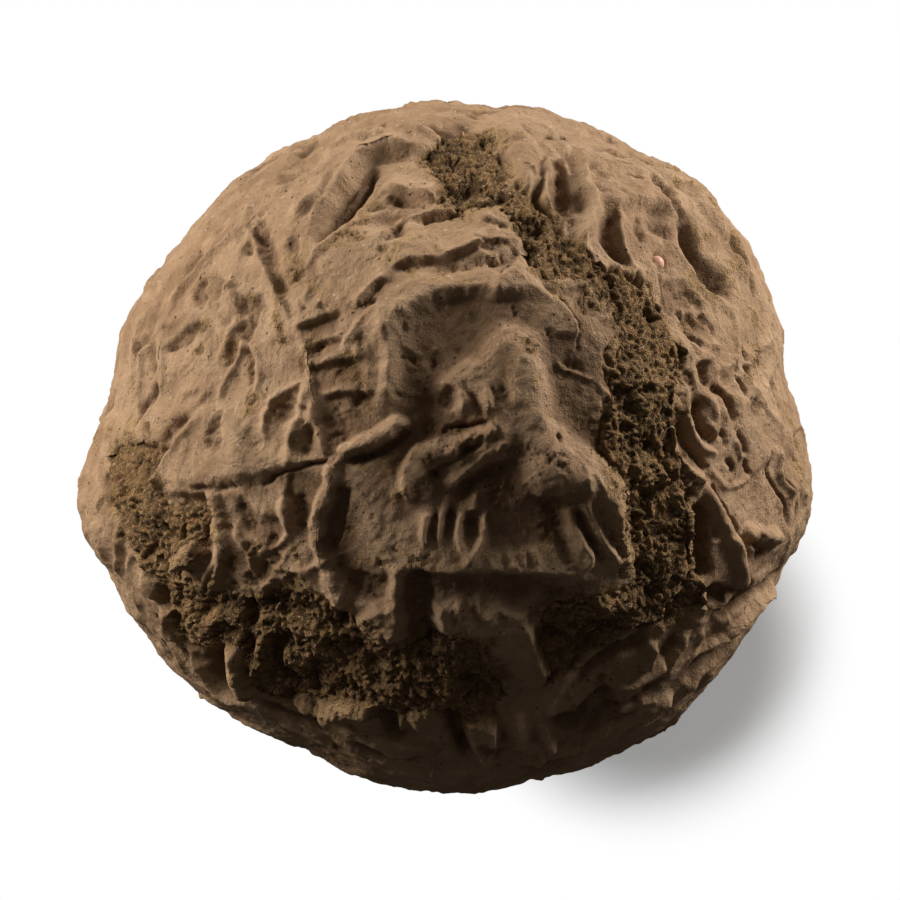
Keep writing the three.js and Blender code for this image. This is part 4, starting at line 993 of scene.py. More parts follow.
IMPRESSIONS = (FIELD + BEAST + FRINGE + LEDGE + CROWN_FOLDS + LEFT_FIGURES + BARS + SHOULDER_FOLDS
               + UPPER_RIGHT_PITS + RIGHT_RING + LOWER_RIGHT_FOLDS + LOWER_FOLDS + LOWER_LEFT_FOLDS)

# Where the fine clay is worn through to grit: a pixel of the view, the reach in pixels and the strength
GRITTY_SKIN = [
    (300, 265, 42, 0.62), (420, 420, 26, 0.75), (355, 520, 26, 0.75), (345, 560, 30, 0.8),
    (290, 545, 26, 0.7), (250, 300, 26, 0.6), (195, 335, 26, 0.6), (350, 400, 34, 0.55),
    (340, 370, 30, 0.55), (490, 490, 30, 0.6), (530, 345, 14, 0.7), (545, 380, 12, 0.7),
    (395, 320, 22, 0.35), (150, 480, 18, 0.8), (190, 525, 20, 0.9), (575, 425, 12, 0.7),
    (560, 500, 22, 0.7), (455, 430, 14, 0.7), (490, 195, 30, 0.8), (250, 410, 26, 0.5),
    (370, 250, 26, 0.4), (440, 230, 30, 0.35), (475, 620, 34, 0.6), (420, 555, 22, 0.6),
    (505, 170, 30, 0.7), (452, 205, 30, 0.65), (592, 712, 34, 0.95), (654, 708, 26, 0.95),
    (612, 690, 26, 0.8), (604, 640, 22, 0.7), (262, 312, 34, 0.7), (215, 340, 26, 0.6),
    (700, 320, 24, 0.6), (706, 560, 30, 0.6), (760, 410, 20, 0.5), (180, 560, 26, 0.8),
    (300, 600, 30, 0.8), (380, 560, 26, 0.6),
]
LEAST_GRITTY_SHARE = 0.42

# How far the fine clay sinks at the edge of a slab, and how far it bends down before that, in millimetres
EDGE_DROP = 2.2
EDGE_BEND = 0.3

# How much of the worn relief the panel's clearer impressions leave out, how rough the sandy wear and the sunk
# places are, and how dark the painted shade is in low places and in what the strokes sink
PANEL_CALM = 0.65
SANDY_ROUGHNESS = 0.75
SUNK_ROUGHNESS = 0.8
LOW_SHADE = 0.8
SUNK_SHADE = 0.7

# The grit in the seams: how far it lies under the ball's surface and what shapes it, in millimetres
GRIT_SUNK = 0.35
GRIT_LUMP_HEIGHT = 0.6
GRIT_TEXTURE_SHARE = 1.1
GRIT_HOLE_DEPTH = 0.55
GRIT_IMPRESSION_SHARE = 0.4


def gritty_skin(directions, points):
    """How far the skin is worn through to grit, from 0 to 1."""
    share = np.zeros(len(directions))
    for x, y, reach, strength in GRITTY_SKIN:
        centre = directions_at([(x, y)])[0]
        away = np.arccos(np.clip(directions @ centre, -1, 1)) * MEAN_RADIUS / MM_PER_PIXEL / reach
        share = np.maximum(share, strength * (1 - smooth_step(away, 0.2, 1.15)))
    broad = noise(points, size=8.0, seed=73, octaves=3)
    share = np.maximum(share, LEAST_GRITTY_SHARE * smooth_step(broad, -0.1, 0.7))
    patchy = smooth_step(noise(points, size=1.5, seed=71, octaves=4), 0.5 - 1.1 * share, 0.95 - 0.95 * share)
    return patchy * smooth_step(share, 0.0, 0.3)


def grit_texture(points):
    """Heights in millimetres of the coarse grit's own surface."""
    bent = points + shifts(points, size=0.9, seeds=(49, 53, 57), octaves=2, reach=0.3)
    crumbs = np.abs(noise(bent, size=0.62, seed=41, octaves=2)) ** 0.6
    small = grains(points, size=0.42, seed=45)
    return crumbs * 0.46 + small * 0.12 + lumps(points, size=2.0, seed=47, octaves=4, height=0.24) - 0.2


def worn_relief(points):
    """Heights in millimetres of impressions too worn to read, which cover all of the fine clay."""
    bent = points + shifts(points, size=7.0, seeds=(91, 93, 95), octaves=2, reach=1.5)
    cords = bell(noise(bent, size=6.5, seed=97, octaves=2) / 0.16, 1) * 0.32
    dents = smooth_step(noise(bent, size=3.4, seed=99, octaves=2), 0.30, 0.95) * 0.5
    return cords - dents + lumps(bent, size=4.2, seed=101, octaves=3, height=0.24)


def depths_at(directions):
    """How far each direction lies inside its slab, and how far apart the two nearest slabs are there."""
    depths = np.sort(np.stack([patch.depth(directions) for patch in SLABS.values()]), axis=0)
    return depths[-1], -depths[-1] - depths[-2]


def smeared_joint(gap):
    """1 where two slabs meet and are smeared together, and 0 where a seam lies between them."""
    return 1 - smooth_step(gap, 0.5, 1.5)


def coat_top(directions):
    """Radius in millimetres of the fine clay's top, with its grit and its painted shade from 0 to 1."""
    base = ball_radius(directions)
    points = directions * base[:, None]
    lines, dirt = press_all(IMPRESSIONS, directions, points)
    own, gap = depths_at(directions)
    joint = smeared_joint(gap)
    inside = own + lumps(points, size=2.4, seed=31, octaves=4, height=0.8) * (1 - joint)
    in_panel = SLABS["coat_figure_panel"].depth(directions) + noise(points, size=3.0, seed=103, octaves=2)
    lines = lines + worn_relief(points) * (1 - PANEL_CALM * smooth_step(in_panel, -0.6, 1.2))
    top = base + lines
    top += lumps(points, size=9.0, seed=20, octaves=2, height=0.25)
    top += (lumps(points, size=1.3, seed=22, octaves=3, height=0.115)
            + lumps(points, size=0.5, seed=23, octaves=2, height=0.06))
    drop = EDGE_DROP * (1 - smooth_step(inside, -0.7, 0.4)) ** 2
    bend = EDGE_BEND * (1 - smooth_step(inside, 0, 3.0)) ** 2
    top -= (drop + bend) * (1 - joint)

    sandy = gritty_skin(directions, points)
    near_seam = (1 - smooth_step(inside, 0.2, 3.4)) * (1 - joint)
    worn = smooth_step(lumps(points, size=1.6, seed=75, octaves=4, height=0.8) + near_seam * 1.4, 0.55, 1.35)
    worn = worn * (near_seam > 0.02)
    texture = grit_texture(points)
    # the places that strokes sink, which carry painted shade, are roughened too
    sunk_rough = smooth_step(dirt, 0.06, 0.4) * SUNK_ROUGHNESS
    rough = np.maximum(np.maximum(worn, sandy * SANDY_ROUGHNESS), sunk_rough)
    top += rough * (texture - 0.2)
    # painted shade between the crumbs of the rough places
    gaps = (1 - smooth_step(texture, -0.1, 0.14)) * rough
    uneven = lumps(points, size=2.5, seed=105, octaves=3, height=0.15)
    # painted shade where the surface lies low
    low = smooth_step(-lines + uneven, -0.05, 0.45) * LOW_SHADE
    worn *= 0.4 + 0.6 * (1 - smooth_step(inside, -0.3, 0.5))
    return top, np.maximum(worn, sandy * 0.5), np.maximum(np.maximum(dirt * SUNK_SHADE, low), gaps)


def grit_top(directions):
    """Radius in millimetres of the grit between the slabs, and how deep its gaps and holes are, from 0 to 1,
    for painted shade.
    """
    base = ball_radius(directions)
    points = directions * base[:, None]
    lines, _ = press_all(IMPRESSIONS, directions, points)
    deep, _ = press_all(GRIT_HOLES, directions, points)
    heaps = noise(points, size=4.5, seed=51, octaves=4)
    holes = smooth_step(noise(points, size=1.6, seed=61, octaves=4), 0.2, 0.75)
    texture = grit_texture(points)
    sunk = np.maximum(holes, smooth_step(-deep, 0.3, 1.2)) * 0.7
    gaps = np.maximum(1 - smooth_step(texture, -0.12, 0.14), sunk)
    radius = (base - GRIT_SUNK + heaps * GRIT_LUMP_HEIGHT + texture * GRIT_TEXTURE_SHARE
              - holes * GRIT_HOLE_DEPTH + deep + lines * GRIT_IMPRESSION_SHARE)
    return radius, gaps


def settings():
    return bpy.context.scene.bulla


def unit(vectors):
    return vectors / np.linalg.norm(vectors, axis=1, keepdims=True)


def object_from(bm, name):
    """Makes an object with a mesh of its own from a bmesh."""
    mesh = bpy.data.meshes.new(name)
    bm.to_mesh(mesh)
    bm.free()
    made = bpy.data.objects.new(name, mesh)
    bpy.context.scene.collection.objects.link(made)
    return made


def piece_from(bm, name, body="bulla"):
    """Makes a smooth-shaded piece from a bmesh and lets it ride on a body."""
    piece = object_from(bm, name)
    piece.data.shade_smooth()
    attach(piece, body)
    return piece


def points_of(mesh):
    points = np.empty(3 * len(mesh.vertices))
    mesh.vertices.foreach_get("co", points)
    return points.reshape(-1, 3)


def set_points(mesh, points):
    """Moves a mesh's points, given in millimetres."""
    mesh.vertices.foreach_set("co", (points * MM).ravel())
    mesh.update()


def set_shares(mesh, **shares):
    """Stores values from 0 to 1 at the points of a mesh, for the materials to read."""
    for name, values in shares.items():
        layer = mesh.attributes.new(name, "FLOAT", "POINT")
        layer.data.foreach_set("value", np.clip(values, 0, 1).astype(np.float32))


def face_outwards(bm):
    bmesh.ops.recalc_face_normals(bm, faces=bm.faces[:])
    if bm.calc_volume(signed=True) < 0:
        bmesh.ops.reverse_faces(bm, faces=bm.faces[:])


def use_modifiers(piece):
    """Puts the mesh that a piece's modifiers make in place of its own."""
    graph = bpy.context.evaluated_depsgraph_get()
    mesh = bpy.data.meshes.new_from_object(piece.evaluated_get(graph))
    piece.modifiers.clear()
    old, piece.data = piece.data, mesh
    bpy.data.meshes.remove(old)
    mesh.name = piece.name


def on_outline(points, corners, let_out):
    """The nearest places on a closed outline, let out a little away from the points."""
    best = np.full(len(points), np.inf)
    places = points.copy()
    for a, b in zip(corners, np.roll(corners, -1, axis=0)):
        step = b - a
        along = np.clip((points - a) @ step / (step @ step), 0, 1)
        foot = a + along[:, None] * step
        away = np.linalg.norm(points - foot, axis=1)
        closer = away < best
        best[closer] = away[closer]
        places[closer] = foot[closer]
    return places + (places - points) * (let_out / np.maximum(best, let_out))[:, None]


def spacing_for(name):
    """Distance in millimetres between the points of a slab, wider where a big slab would have too many."""
    size = (settings().hidden_spacing if name == "coat_base" else settings().skin_spacing) / MM
    size = max(size, math.sqrt(TRIANGLES_A_CELL * SLABS[name].area() / MOST_SLAB_TRIANGLES))
    return size * 1


def slab_sheet(patch, spacing):
    """A flat sheet that fills an outline, at height 0, and a copy of it at height 1, joined at their rims."""
    count = math.ceil(patch.reach / spacing) * 2
    bm = bmesh.new()
    bmesh.ops.create_grid(bm, x_segments=count, y_segments=count, size=count * spacing / 2)
    flat = np.array([v.co[:2] for v in bm.verts])
    outside = polygon_depth(flat, patch.corners) < spacing * 0.3
    bmesh.ops.delete(bm, geom=[v for v, out in zip(bm.verts[:], outside) if out], context="VERTS")
    loose = [v for v in bm.verts if not v.link_faces or sum(not e.is_manifold for e in v.link_edges) > 2]
    bmesh.ops.delete(bm, geom=loose, context="VERTS")
    rim = [v for v in bm.verts if v.is_boundary]
    rim_points = np.array([v.co[:2] for v in rim])
    for v, place in zip(rim, on_outline(rim_points, patch.corners, SMEARED_OVER)):
        v.co[:2] = place
    raised = bmesh.ops.extrude_face_region(bm, geom=bm.faces[:])["geom"]
    bmesh.ops.translate(bm, verts=[e for e in raised if isinstance(e, bmesh.types.BMVert)], vec=(0, 0, 1))
    face_outwards(bm)
    return bm


def make_slab(name):
    """One pressed slab of fine clay, with its top, its edge all round and its under side."""
    patch = SLABS[name]
    piece = piece_from(slab_sheet(patch, spacing_for(name)), name + "_skin")
    piece.data.set_sharp_from_angle(angle=SLAB_EDGE_ANGLE)
    points = points_of(piece.data)
    directions = wrapped(points[:, :2], patch.axes)
    top = points[:, 2] > 0.5
    radius = ball_radius(directions) - COAT_THICKNESS
    grit, dirt = np.ones(len(points)), np.zeros(len(points))
    crest, grit[top], dirt[top] = coat_top(directions[top])
    radius[top] = np.maximum(crest, radius[top] + LEAST_SLAB_THICKNESS)
    places = CENTRE + directions * radius[:, None]
    places[:, 2] = np.maximum(places[:, 2], 0)
    set_points(piece.data, places)
    set_shares(piece.data, grit=grit, dirt=dirt)
    piece.data.materials.append(fine_clay())
    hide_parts(name)


def core_ball():
    """A ball of radius 1 whose faces are small where the grit shows in the seams."""
    bm = bmesh.new()
    bmesh.ops.create_icosphere(bm, subdivisions=CORE_SUBDIVISIONS, radius=1)
    for detail, lowest in enumerate(CORE_LOWEST):
        directions = unit(np.array([v.co[:] for v in bm.verts]))
        own, gap = depths_at(directions)
        between_slabs = (gap > NARROW_GAP) & (gap < WIDE_GAP) & (directions[:, 2] > NARROW_LOWEST)
        narrow = (own < NARROW_BAND - NARROW_BAND_STEP * detail) & between_slabs
        seam = (own < SEAM_BAND - SEAM_BAND_STEP * detail) & (directions[:, 2] > lowest) | narrow
        bm.verts.index_update()
        edges = [e for e in bm.edges if seam[e.verts[0].index] and seam[e.verts[1].index]]
        bmesh.ops.subdivide_edges(bm, edges=edges, cuts=1, use_grid_fill=True)
    bmesh.ops.triangulate(bm, faces=[f for f in bm.faces if len(f.verts) > 3])
    face_outwards(bm)
    return bm


def shape_core(mesh):
    """Gives the core its size under the slabs, and lets its grit rise in the seams between them."""
    directions = unit(points_of(mesh))
    own, gap = depths_at(directions)
    joint = smeared_joint(gap)
    inside = own + lumps(directions * MEAN_RADIUS, size=2.2, seed=31, octaves=3, height=0.55)
    beyond = 1 - smooth_step(own, -0.15, 0.0)
    open_seam = np.maximum((1 - smooth_step(inside, 0.3, 0.9)) * (1 - joint), beyond)
    near = np.flatnonzero(open_seam > 0)
    seated = ball_radius(directions) - COAT_THICKNESS - SEAT_GAP
    risen, gaps = grit_top(directions[near])
    covered = np.minimum(risen, coat_top(directions[near])[0] - GRIT_UNDER_SMEARS)
    risen += (covered - risen) * joint[near]
    radius = seated.copy()
    radius[near] += (risen - seated[near]) * open_seam[near]
    places = CENTRE + directions * radius[:, None]
    places[:, 2] = np.maximum(places[:, 2], GRIT_OVER_FLOOR)
    set_points(mesh, places)
    # painted shade in the grit's gaps and holes
    dirt = np.zeros(len(directions))
    dirt[near] = gaps
    set_shares(mesh, grit=np.ones(len(directions)), dirt=dirt)


def filling_radius(height):
    """The radius of the filling hole at a height over the middle of the ball."""
    share = (height - CAVITY_HEIGHT / 2) / (HALF_HEIGHT - CAVITY_HEIGHT / 2)
    return (FILLING_THROAT_DIAMETER + (FILLING_MOUTH_DIAMETER - FILLING_THROAT_DIAMETER) * share) / 2


def hollow_profile():
    """The hollow as (radius, height) pairs from its floor up: corner, wall, dome, throat and filling hole."""
    corner_room = TOKEN_CLEARANCE + CAVITY_CORNER_RADIUS
    farthest = max(abs(v) for node in TOKEN_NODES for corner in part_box(node) for v in corner[:2])
    cavity = farthest / MM + corner_room
    floor, roof, top = -CAVITY_HEIGHT / 2, CAVITY_HEIGHT / 2, HALF_HEIGHT + HOLLOW_OVERSHOOT
    throat = FILLING_THROAT_DIAMETER / 2
    profile = [(0, floor)]
    for i in range(CORNER_STEPS + 1):
        turn = i / CORNER_STEPS * math.pi / 2
        profile.append((cavity - CAVITY_CORNER_RADIUS * (1 - math.sin(turn)),
                        floor + CAVITY_CORNER_RADIUS * (1 - math.cos(turn))))
    for i in range(DOME_STEPS):
        turn = i / DOME_STEPS * math.pi / 2
        profile.append((throat + (cavity - throat) * math.cos(turn),
                        floor + CAVITY_WALL_HEIGHT + (CAVITY_HEIGHT - CAVITY_WALL_HEIGHT) * math.sin(turn)))
    return profile + [(throat, roof), (filling_radius(top), top), (0, top)]


def make_hollow(steps=96):
    """The body of the hollow, turned about the upright line through the middle of the ball."""
    bm = bmesh.new()
    verts = [bm.verts.new((radius, 0, height)) for radius, height in hollow_profile()]
    edges = [bm.edges.new(pair) for pair in zip(verts[:-1], verts[1:])]
    bmesh.ops.spin(bm, geom=verts + edges, cent=(0, 0, 0), axis=(0, 0, 1), angle=2 * math.pi, steps=steps,
                   use_merge=True)
    bmesh.ops.remove_doubles(bm, verts=bm.verts[:], dist=1e-5)
    face_outwards(bm)
    bmesh.ops.translate(bm, verts=bm.verts[:], vec=CENTRE)
    bmesh.ops.scale(bm, verts=bm.verts[:], vec=(MM, MM, MM))
    return object_from(bm, "hollow")


def cut_by(piece, tool):
    """Cuts the body of a tool out of a piece for good, and does away with the tool."""
    cut = piece.modifiers.new("hollow", "BOOLEAN")
    cut.operation = "DIFFERENCE"
    cut.solver = "MANIFOLD"
    cut.object = tool
    use_modifiers(piece)
    gone = tool.data
    bpy.data.objects.remove(tool)
    bpy.data.meshes.remove(gone)


def make_core_wall():
    """The thick coarse wall, hollow inside, whose grit rises in the seams between the slabs."""
    piece = piece_from(core_ball(), "core_wall_clay")
    shape_core(piece.data)
    cut_by(piece, make_hollow())
    piece.data.shade_smooth()
    piece.data.materials.clear()
    piece.data.materials.append(coarse_clay())
    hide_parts("core_wall")


def rounded_solid(node, edge):
    """A CAD node's solid in millimetres, with its sharp edges rounded."""
    bm = bmesh.new()
    bm.from_mesh(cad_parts[node].data)
    bmesh.ops.scale(bm, verts=bm.verts[:], vec=(1 / MM, 1 / MM, 1 / MM))
    bmesh.ops.remove_doubles(bm, verts=bm.verts[:], dist=MERGE_DISTANCE)
    bmesh.ops.dissolve_limit(bm, angle_limit=FLAT_ANGLE, verts=bm.verts[:], edges=bm.edges[:])
    sharp = [e for e in bm.edges if e.calc_face_angle(0) > BEVEL_ANGLE]
    bmesh.ops.bevel(bm, geom=sharp, offset=edge, offset_type="OFFSET", affect="EDGES",
                    segments=3, profile=0.5, material=-1)
    bmesh.ops.triangulate(bm, faces=bm.faces[:])
    return bm


def make_even(piece, grain):
    """Gives a piece faces of one small size and smooths them."""
    remesh = piece.modifiers.new("even", "REMESH")
    remesh.mode = "VOXEL"
    remesh.voxel_size = grain * 1
    use_modifiers(piece)
    bm = bmesh.new()
    bm.from_mesh(piece.data)
    for _ in range(SMOOTHING_ROUNDS):
        bmesh.ops.smooth_vert(bm, verts=bm.verts[:], factor=0.5,
                              use_axis_x=True, use_axis_y=True, use_axis_z=True)
    face_outwards(bm)
    bm.to_mesh(piece.data)
    bm.free()


def press_by_hand(mesh, lump, depth):
    """Sinks a skin unevenly, never outwards, and paints shade into its hollows."""
    points = points_of(mesh)
    normals = np.empty(3 * len(points))
    mesh.vertices.foreach_get("normal", normals)
    uneven = noise(points, lump, seed=83, octaves=3) * depth
    uneven = uneven + noise(points, lump / 6, seed=87, octaves=2) * depth * 0.25 - depth * 0.8
    set_points(mesh, points + normals.reshape(-1, 3) * np.minimum(uneven, 0)[:, None])
    # painted shade in the hollows
    hollows = smooth_step(-uneven / depth, 1.0, 2.2)
    set_shares(mesh, grit=hollows * 0.3, dirt=hollows)


def hand_worked(node, body, finish, edge, grain, lump, depth):
    """A piece that stands for a CAD node, its edges rounded and its skin uneven. Sizes are in millimetres."""
    piece = piece_from(rounded_solid(node, edge), node + "_clay", body)
    make_even(piece, grain)
    press_by_hand(piece.data, lump, depth)
    piece.data.shade_smooth()
    piece.data.materials.append(finish())
    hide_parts(node)


def add_node(tree, kind, links=None, **values):
    """A node of a material, with its settings and with values or links for its sockets."""
    node = tree.nodes.new(kind)
    for name, value in values.items():
        setattr(node, name, value)
    for socket, value in (links or {}).items():
        if isinstance(value, bpy.types.NodeSocket):
            tree.links.new(value, node.inputs[socket])
        else:
            node.inputs[socket].default_value = value
    return node


def new_material(name):
    material = bpy.data.materials.new(name)
    material.use_nodes = True
    material.node_tree.nodes.clear()
    return material, material.node_tree


def object_places(tree):
    """Object coordinates in millimetres."""
    coordinates = add_node(tree, "ShaderNodeTexCoord")
    return add_node(tree, "ShaderNodeVectorMath", {0: coordinates.outputs["Object"], "Scale": 1 / MM},
                    operation="SCALE").outputs[0]


def mottle(tree, where, size, detail=4.0, roughness=0.6):
    """Soft patches of a size in millimetres."""
    return add_node(tree, "ShaderNodeTexNoise", {"Vector": where, "Scale": 1 / size, "Detail": detail,
                                                 "Roughness": roughness}).outputs[0]


def cells(tree, where, count):
    """Cells, as many to a millimetre as the count: the distance to a cell's middle, and its random colour."""
    node = add_node(tree, "ShaderNodeTexVoronoi", {"Vector": where, "Scale": count, "Randomness": 1.0})
    own = add_node(tree, "ShaderNodeSeparateColor", {"Color": node.outputs["Color"]})
    return node.outputs["Distance"], own


def between(tree, value, low, high, to_low=0.0, to_high=1.0):
    """A value brought smoothly from one range to another."""
    return add_node(tree, "ShaderNodeMapRange", {"Value": value, "From Min": low, "From Max": high,
                                                 "To Min": to_low, "To Max": to_high},
                    interpolation_type="SMOOTHSTEP").outputs["Result"]


def blend(tree, share, a, b, kind="MIX"):
    """A share of colour b over colour a."""
    node = add_node(tree, "ShaderNodeMix", {0: share, 6: a, 7: b}, data_type="RGBA", blend_type=kind)
    return node.outputs[2]


def worked_out(tree, a, b, kind="ADD"):
    """The sum of two values, or what another kind of arithmetic makes of them."""
    return add_node(tree, "ShaderNodeMath", {0: a, 1: b}, operation=kind).outputs[0]


def times(tree, a, b):
    return worked_out(tree, a, b, "MULTIPLY")


def share_of(tree, name):
    """A value that is stored at the points of the piece."""
    node = add_node(tree, "ShaderNodeAttribute", attribute_name=name, attribute_type="GEOMETRY")
    return node.outputs["Fac"]


def toned(colour, factors):
    """A colour with each of its channels multiplied, and none over 1."""
    return tuple(min(1, c * k) for c, k in zip(colour, factors)) + (1,)


def grit_colour(tree, where, base):
    """Dark coarse clay with ochre, pale and reddish grains, and the height of its crumbs."""
    _, own = cells(tree, where, 2.4)
    distance, small = cells(tree, where, 6.5)
    patches = between(tree, mottle(tree, where, 2.0, 6, 0.7), 0.3, 0.7)
    colour = blend(tree, patches, toned(base, (0.5, 0.5, 0.5)), tuple(base) + (1,))
    colour = blend(tree, between(tree, own.outputs["Red"], 0.5, 1.0, 0, 0.6), colour, OCHRE_GRAIN)
    colour = blend(tree, between(tree, small.outputs["Green"], 0.6, 1.0, 0, 0.6), colour, OCHRE_CRUMB)
    colour = blend(tree, between(tree, own.outputs["Blue"], 0.93, 0.99, 0, 0.6), colour, RED_GRAIN)
    colour = blend(tree, between(tree, small.outputs["Red"], 0.985, 0.998, 0, 0.8), colour, PALE_GRAIN)
    height = worked_out(tree, between(tree, distance, 0.0, 0.7, 1, 0),
                        between(tree, mottle(tree, where, 0.35, 5, 0.7), 0.3, 0.7))
    return colour, height


def finish_material(tree, colour, roughness, height, depth):
    """The surface itself, with bumps of a depth in millimetres."""
    bump = add_node(tree, "ShaderNodeBump", {"Strength": 1.0, "Distance": depth * MM, "Height": height})
    shader = add_node(tree, "ShaderNodeBsdfPrincipled", {
        "Base Color": colour, "Roughness": roughness,
        "Specular IOR Level": 0.28, "Normal": bump.outputs["Normal"]})
    output = add_node(tree, "ShaderNodeOutputMaterial")
    tree.links.new(shader.outputs["BSDF"], output.inputs["Surface"])


def smooth_clay(name, colour):
    """Fine clay: mottled, pitted with pores painted dark, with painted shade in its hollows and worn to grit
    in places.
    """
    if name in bpy.data.materials:
        return bpy.data.materials[name]
    material, tree = new_material(name)
    where = object_places(tree)
    patchy = mottle(tree, where, 2.2, 6, 0.65)
    fine = mottle(tree, where, 0.55, 4, 0.85)
    deep = toned(colour, (0.72, 0.66, 0.60))
    light = toned(colour, (1.13, 1.15, 1.18))
    skin = blend(tree, between(tree, mottle(tree, where, 9.0, 3), 0.3, 0.7), deep, tuple(colour) + (1,))
    skin = blend(tree, between(tree, patchy, 0.45, 0.72, 0, 0.75), skin, light)
    skin = blend(tree, between(tree, fine, 0.30, 0.48, 0.45, 0), skin, deep)

    distance, number = cells(tree, where, 1.5)
    few = between(tree, number.outputs["Red"], 0.80, 0.92)
    pore = times(tree, between(tree, distance, 0.10, 0.22, 1, 0), few)
    # the pores are painted dark, as painted shade in them
    skin = blend(tree, times(tree, pore, 0.75), skin, toned(colour, (0.25, 0.25, 0.25)))
    speck = cells(tree, where, 4.5)[1].outputs["Green"]
    skin = blend(tree, between(tree, speck, 0.985, 0.998, 0, 0.4), skin, PALE_SPECK)
    skin = blend(tree, between(tree, speck, 0.10, 0.03, 0, 0.4), skin, toned(colour, (0.4, 0.4, 0.4)))

    grit = share_of(tree, "grit")
    coarse, crumbs = grit_colour(tree, where, tuple(settings().grit_colour))
    skin = blend(tree, between(tree, grit, 0.02, 0.3, 0, 0.8), skin, toned(colour, (1.02, 0.98, 0.78)))
    skin = blend(tree, between(tree, grit, 0.3, 1.0), skin, coarse)
    # painted shade in the hollows, creases and gaps
    skin = blend(tree, times(tree, share_of(tree, "dirt"), 0.8), skin, SKIN_SHADE, "MULTIPLY")
    height = worked_out(tree, fine, times(tree, patchy, 0.5))
    height = worked_out(tree, height, times(tree, pore, 1.2), "SUBTRACT")
    height = worked_out(tree, height, times(tree, crumbs, grit))
    finish_material(tree, skin, between(tree, patchy, 0.3, 0.7, 0.78, 0.92), height, depth=0.28)
    return material


def fine_clay():
    return smooth_clay("fine_clay_skin", settings().skin_colour)


def token_clay():
    return smooth_clay("token_clay", settings().token_colour)


def coarse_clay():
    """Dark coarse clay full of grains, with painted shade in its gaps and holes."""
    if "coarse_clay_grit" in bpy.data.materials:
        return bpy.data.materials["coarse_clay_grit"]
    material, tree = new_material("coarse_clay_grit")
    where = object_places(tree)
    colour, height = grit_colour(tree, where, tuple(settings().grit_colour))
    dusty = between(tree, mottle(tree, where, 2.6, 6, 0.7), 0.55, 0.75, 0, 0.45)
    colour = blend(tree, dusty, colour, GRIT_DUST)
    # painted shade in the gaps and holes
    colour = blend(tree, times(tree, share_of(tree, "dirt"), 0.7), colour, GRIT_SHADE, "MULTIPLY")
    finish_material(tree, colour, 0.95, height, depth=0.12)
    return material


def pebble_stone():
    """A smooth reddish pebble."""
    material, tree = new_material("pebble_stone")
    where = object_places(tree)
    colour = blend(tree, mottle(tree, where, 0.5, 5), DARK_STONE, LIGHT_STONE)
    colour = blend(tree, between(tree, mottle(tree, where, 0.12), 0.62, 0.7), colour, STONE_SPOT)
    finish_material(tree, colour, 0.45, mottle(tree, where, 0.2, 5), depth=0.01)
    return material


def floor_material():
    """Paper that takes the ball's shadow, white beyond the shadow's reach, and dim to all but the camera."""
    material, tree = new_material("white_floor")
    path = add_node(tree, "ShaderNodeLightPath")
    paper = add_node(tree, "ShaderNodeBsdfDiffuse", {"Color": WHITE})
    glow = add_node(tree, "ShaderNodeEmission", {"Color": WHITE, "Strength": 0.25})
    shaded = add_node(tree, "ShaderNodeAddShader", {0: paper.outputs[0], 1: glow.outputs[0]})
    eye_distance = VIEW_DISTANCE_SHARE * MEAN_RADIUS
    spread = (eye_distance + CENTRE_HEIGHT) / eye_distance * MM_PER_PIXEL
    middle = ((SHADOW_PIXEL[0] - VIEW_CENTRE[0]) * spread, (VIEW_CENTRE[1] - SHADOW_PIXEL[1]) * spread, 0)
    away = add_node(tree, "ShaderNodeVectorMath", {0: object_places(tree), 1: middle}, operation="DISTANCE")
    inner, outer = SHADOW_REACH_PIXELS
    bare = between(tree, away.outputs["Value"], inner * spread, outer * spread)
    white = add_node(tree, "ShaderNodeEmission", {"Color": WHITE, "Strength": 1.0})
    seen = add_node(tree, "ShaderNodeMixShader", {0: bare, 1: shaded.outputs[0], 2: white.outputs[0]})
    dim = add_node(tree, "ShaderNodeBsdfDiffuse", {"Color": DIM_FLOOR})
    mix = add_node(tree, "ShaderNodeMixShader", {0: path.outputs["Is Camera Ray"], 1: dim.outputs[0],
                                                 2: seen.outputs[0]})
    output = add_node(tree, "ShaderNodeOutputMaterial")
    tree.links.new(mix.outputs[0], output.inputs["Surface"])
    return material


def make_floor():
    bm = bmesh.new()
    bmesh.ops.create_grid(bm, x_segments=1, y_segments=1, size=1.5)
    floor = object_from(bm, "floor")
    floor.data.materials.append(floor_material())
    return floor


def add_lamp(name, towards, distance, size, power, colour):
    """A square area lamp that looks at the ball from a direction. Distance and size are in metres."""
    light = bpy.data.lights.new(name, "AREA")
    light.energy = power
    light.size = size
    light.color = colour
    lamp = bpy.data.objects.new(name, light)
    bpy.context.scene.collection.objects.link(lamp)
    towards = Vector(towards).normalized()
    lamp.location = Vector(CENTRE * MM) + towards * distance
    lamp.rotation_euler = towards.to_track_quat("Z", "Y").to_euler()
    return lamp


def link_light(lamp, floor, state):
    """Says whether a lamp lights only the floor, or all but the floor."""
    receivers = bpy.data.collections.new(lamp.name + "_receivers")
    receivers.objects.link(floor)
    lamp.light_linking.receiver_collection = receivers
    receivers.collection_objects[0].light_linking.link_state = state


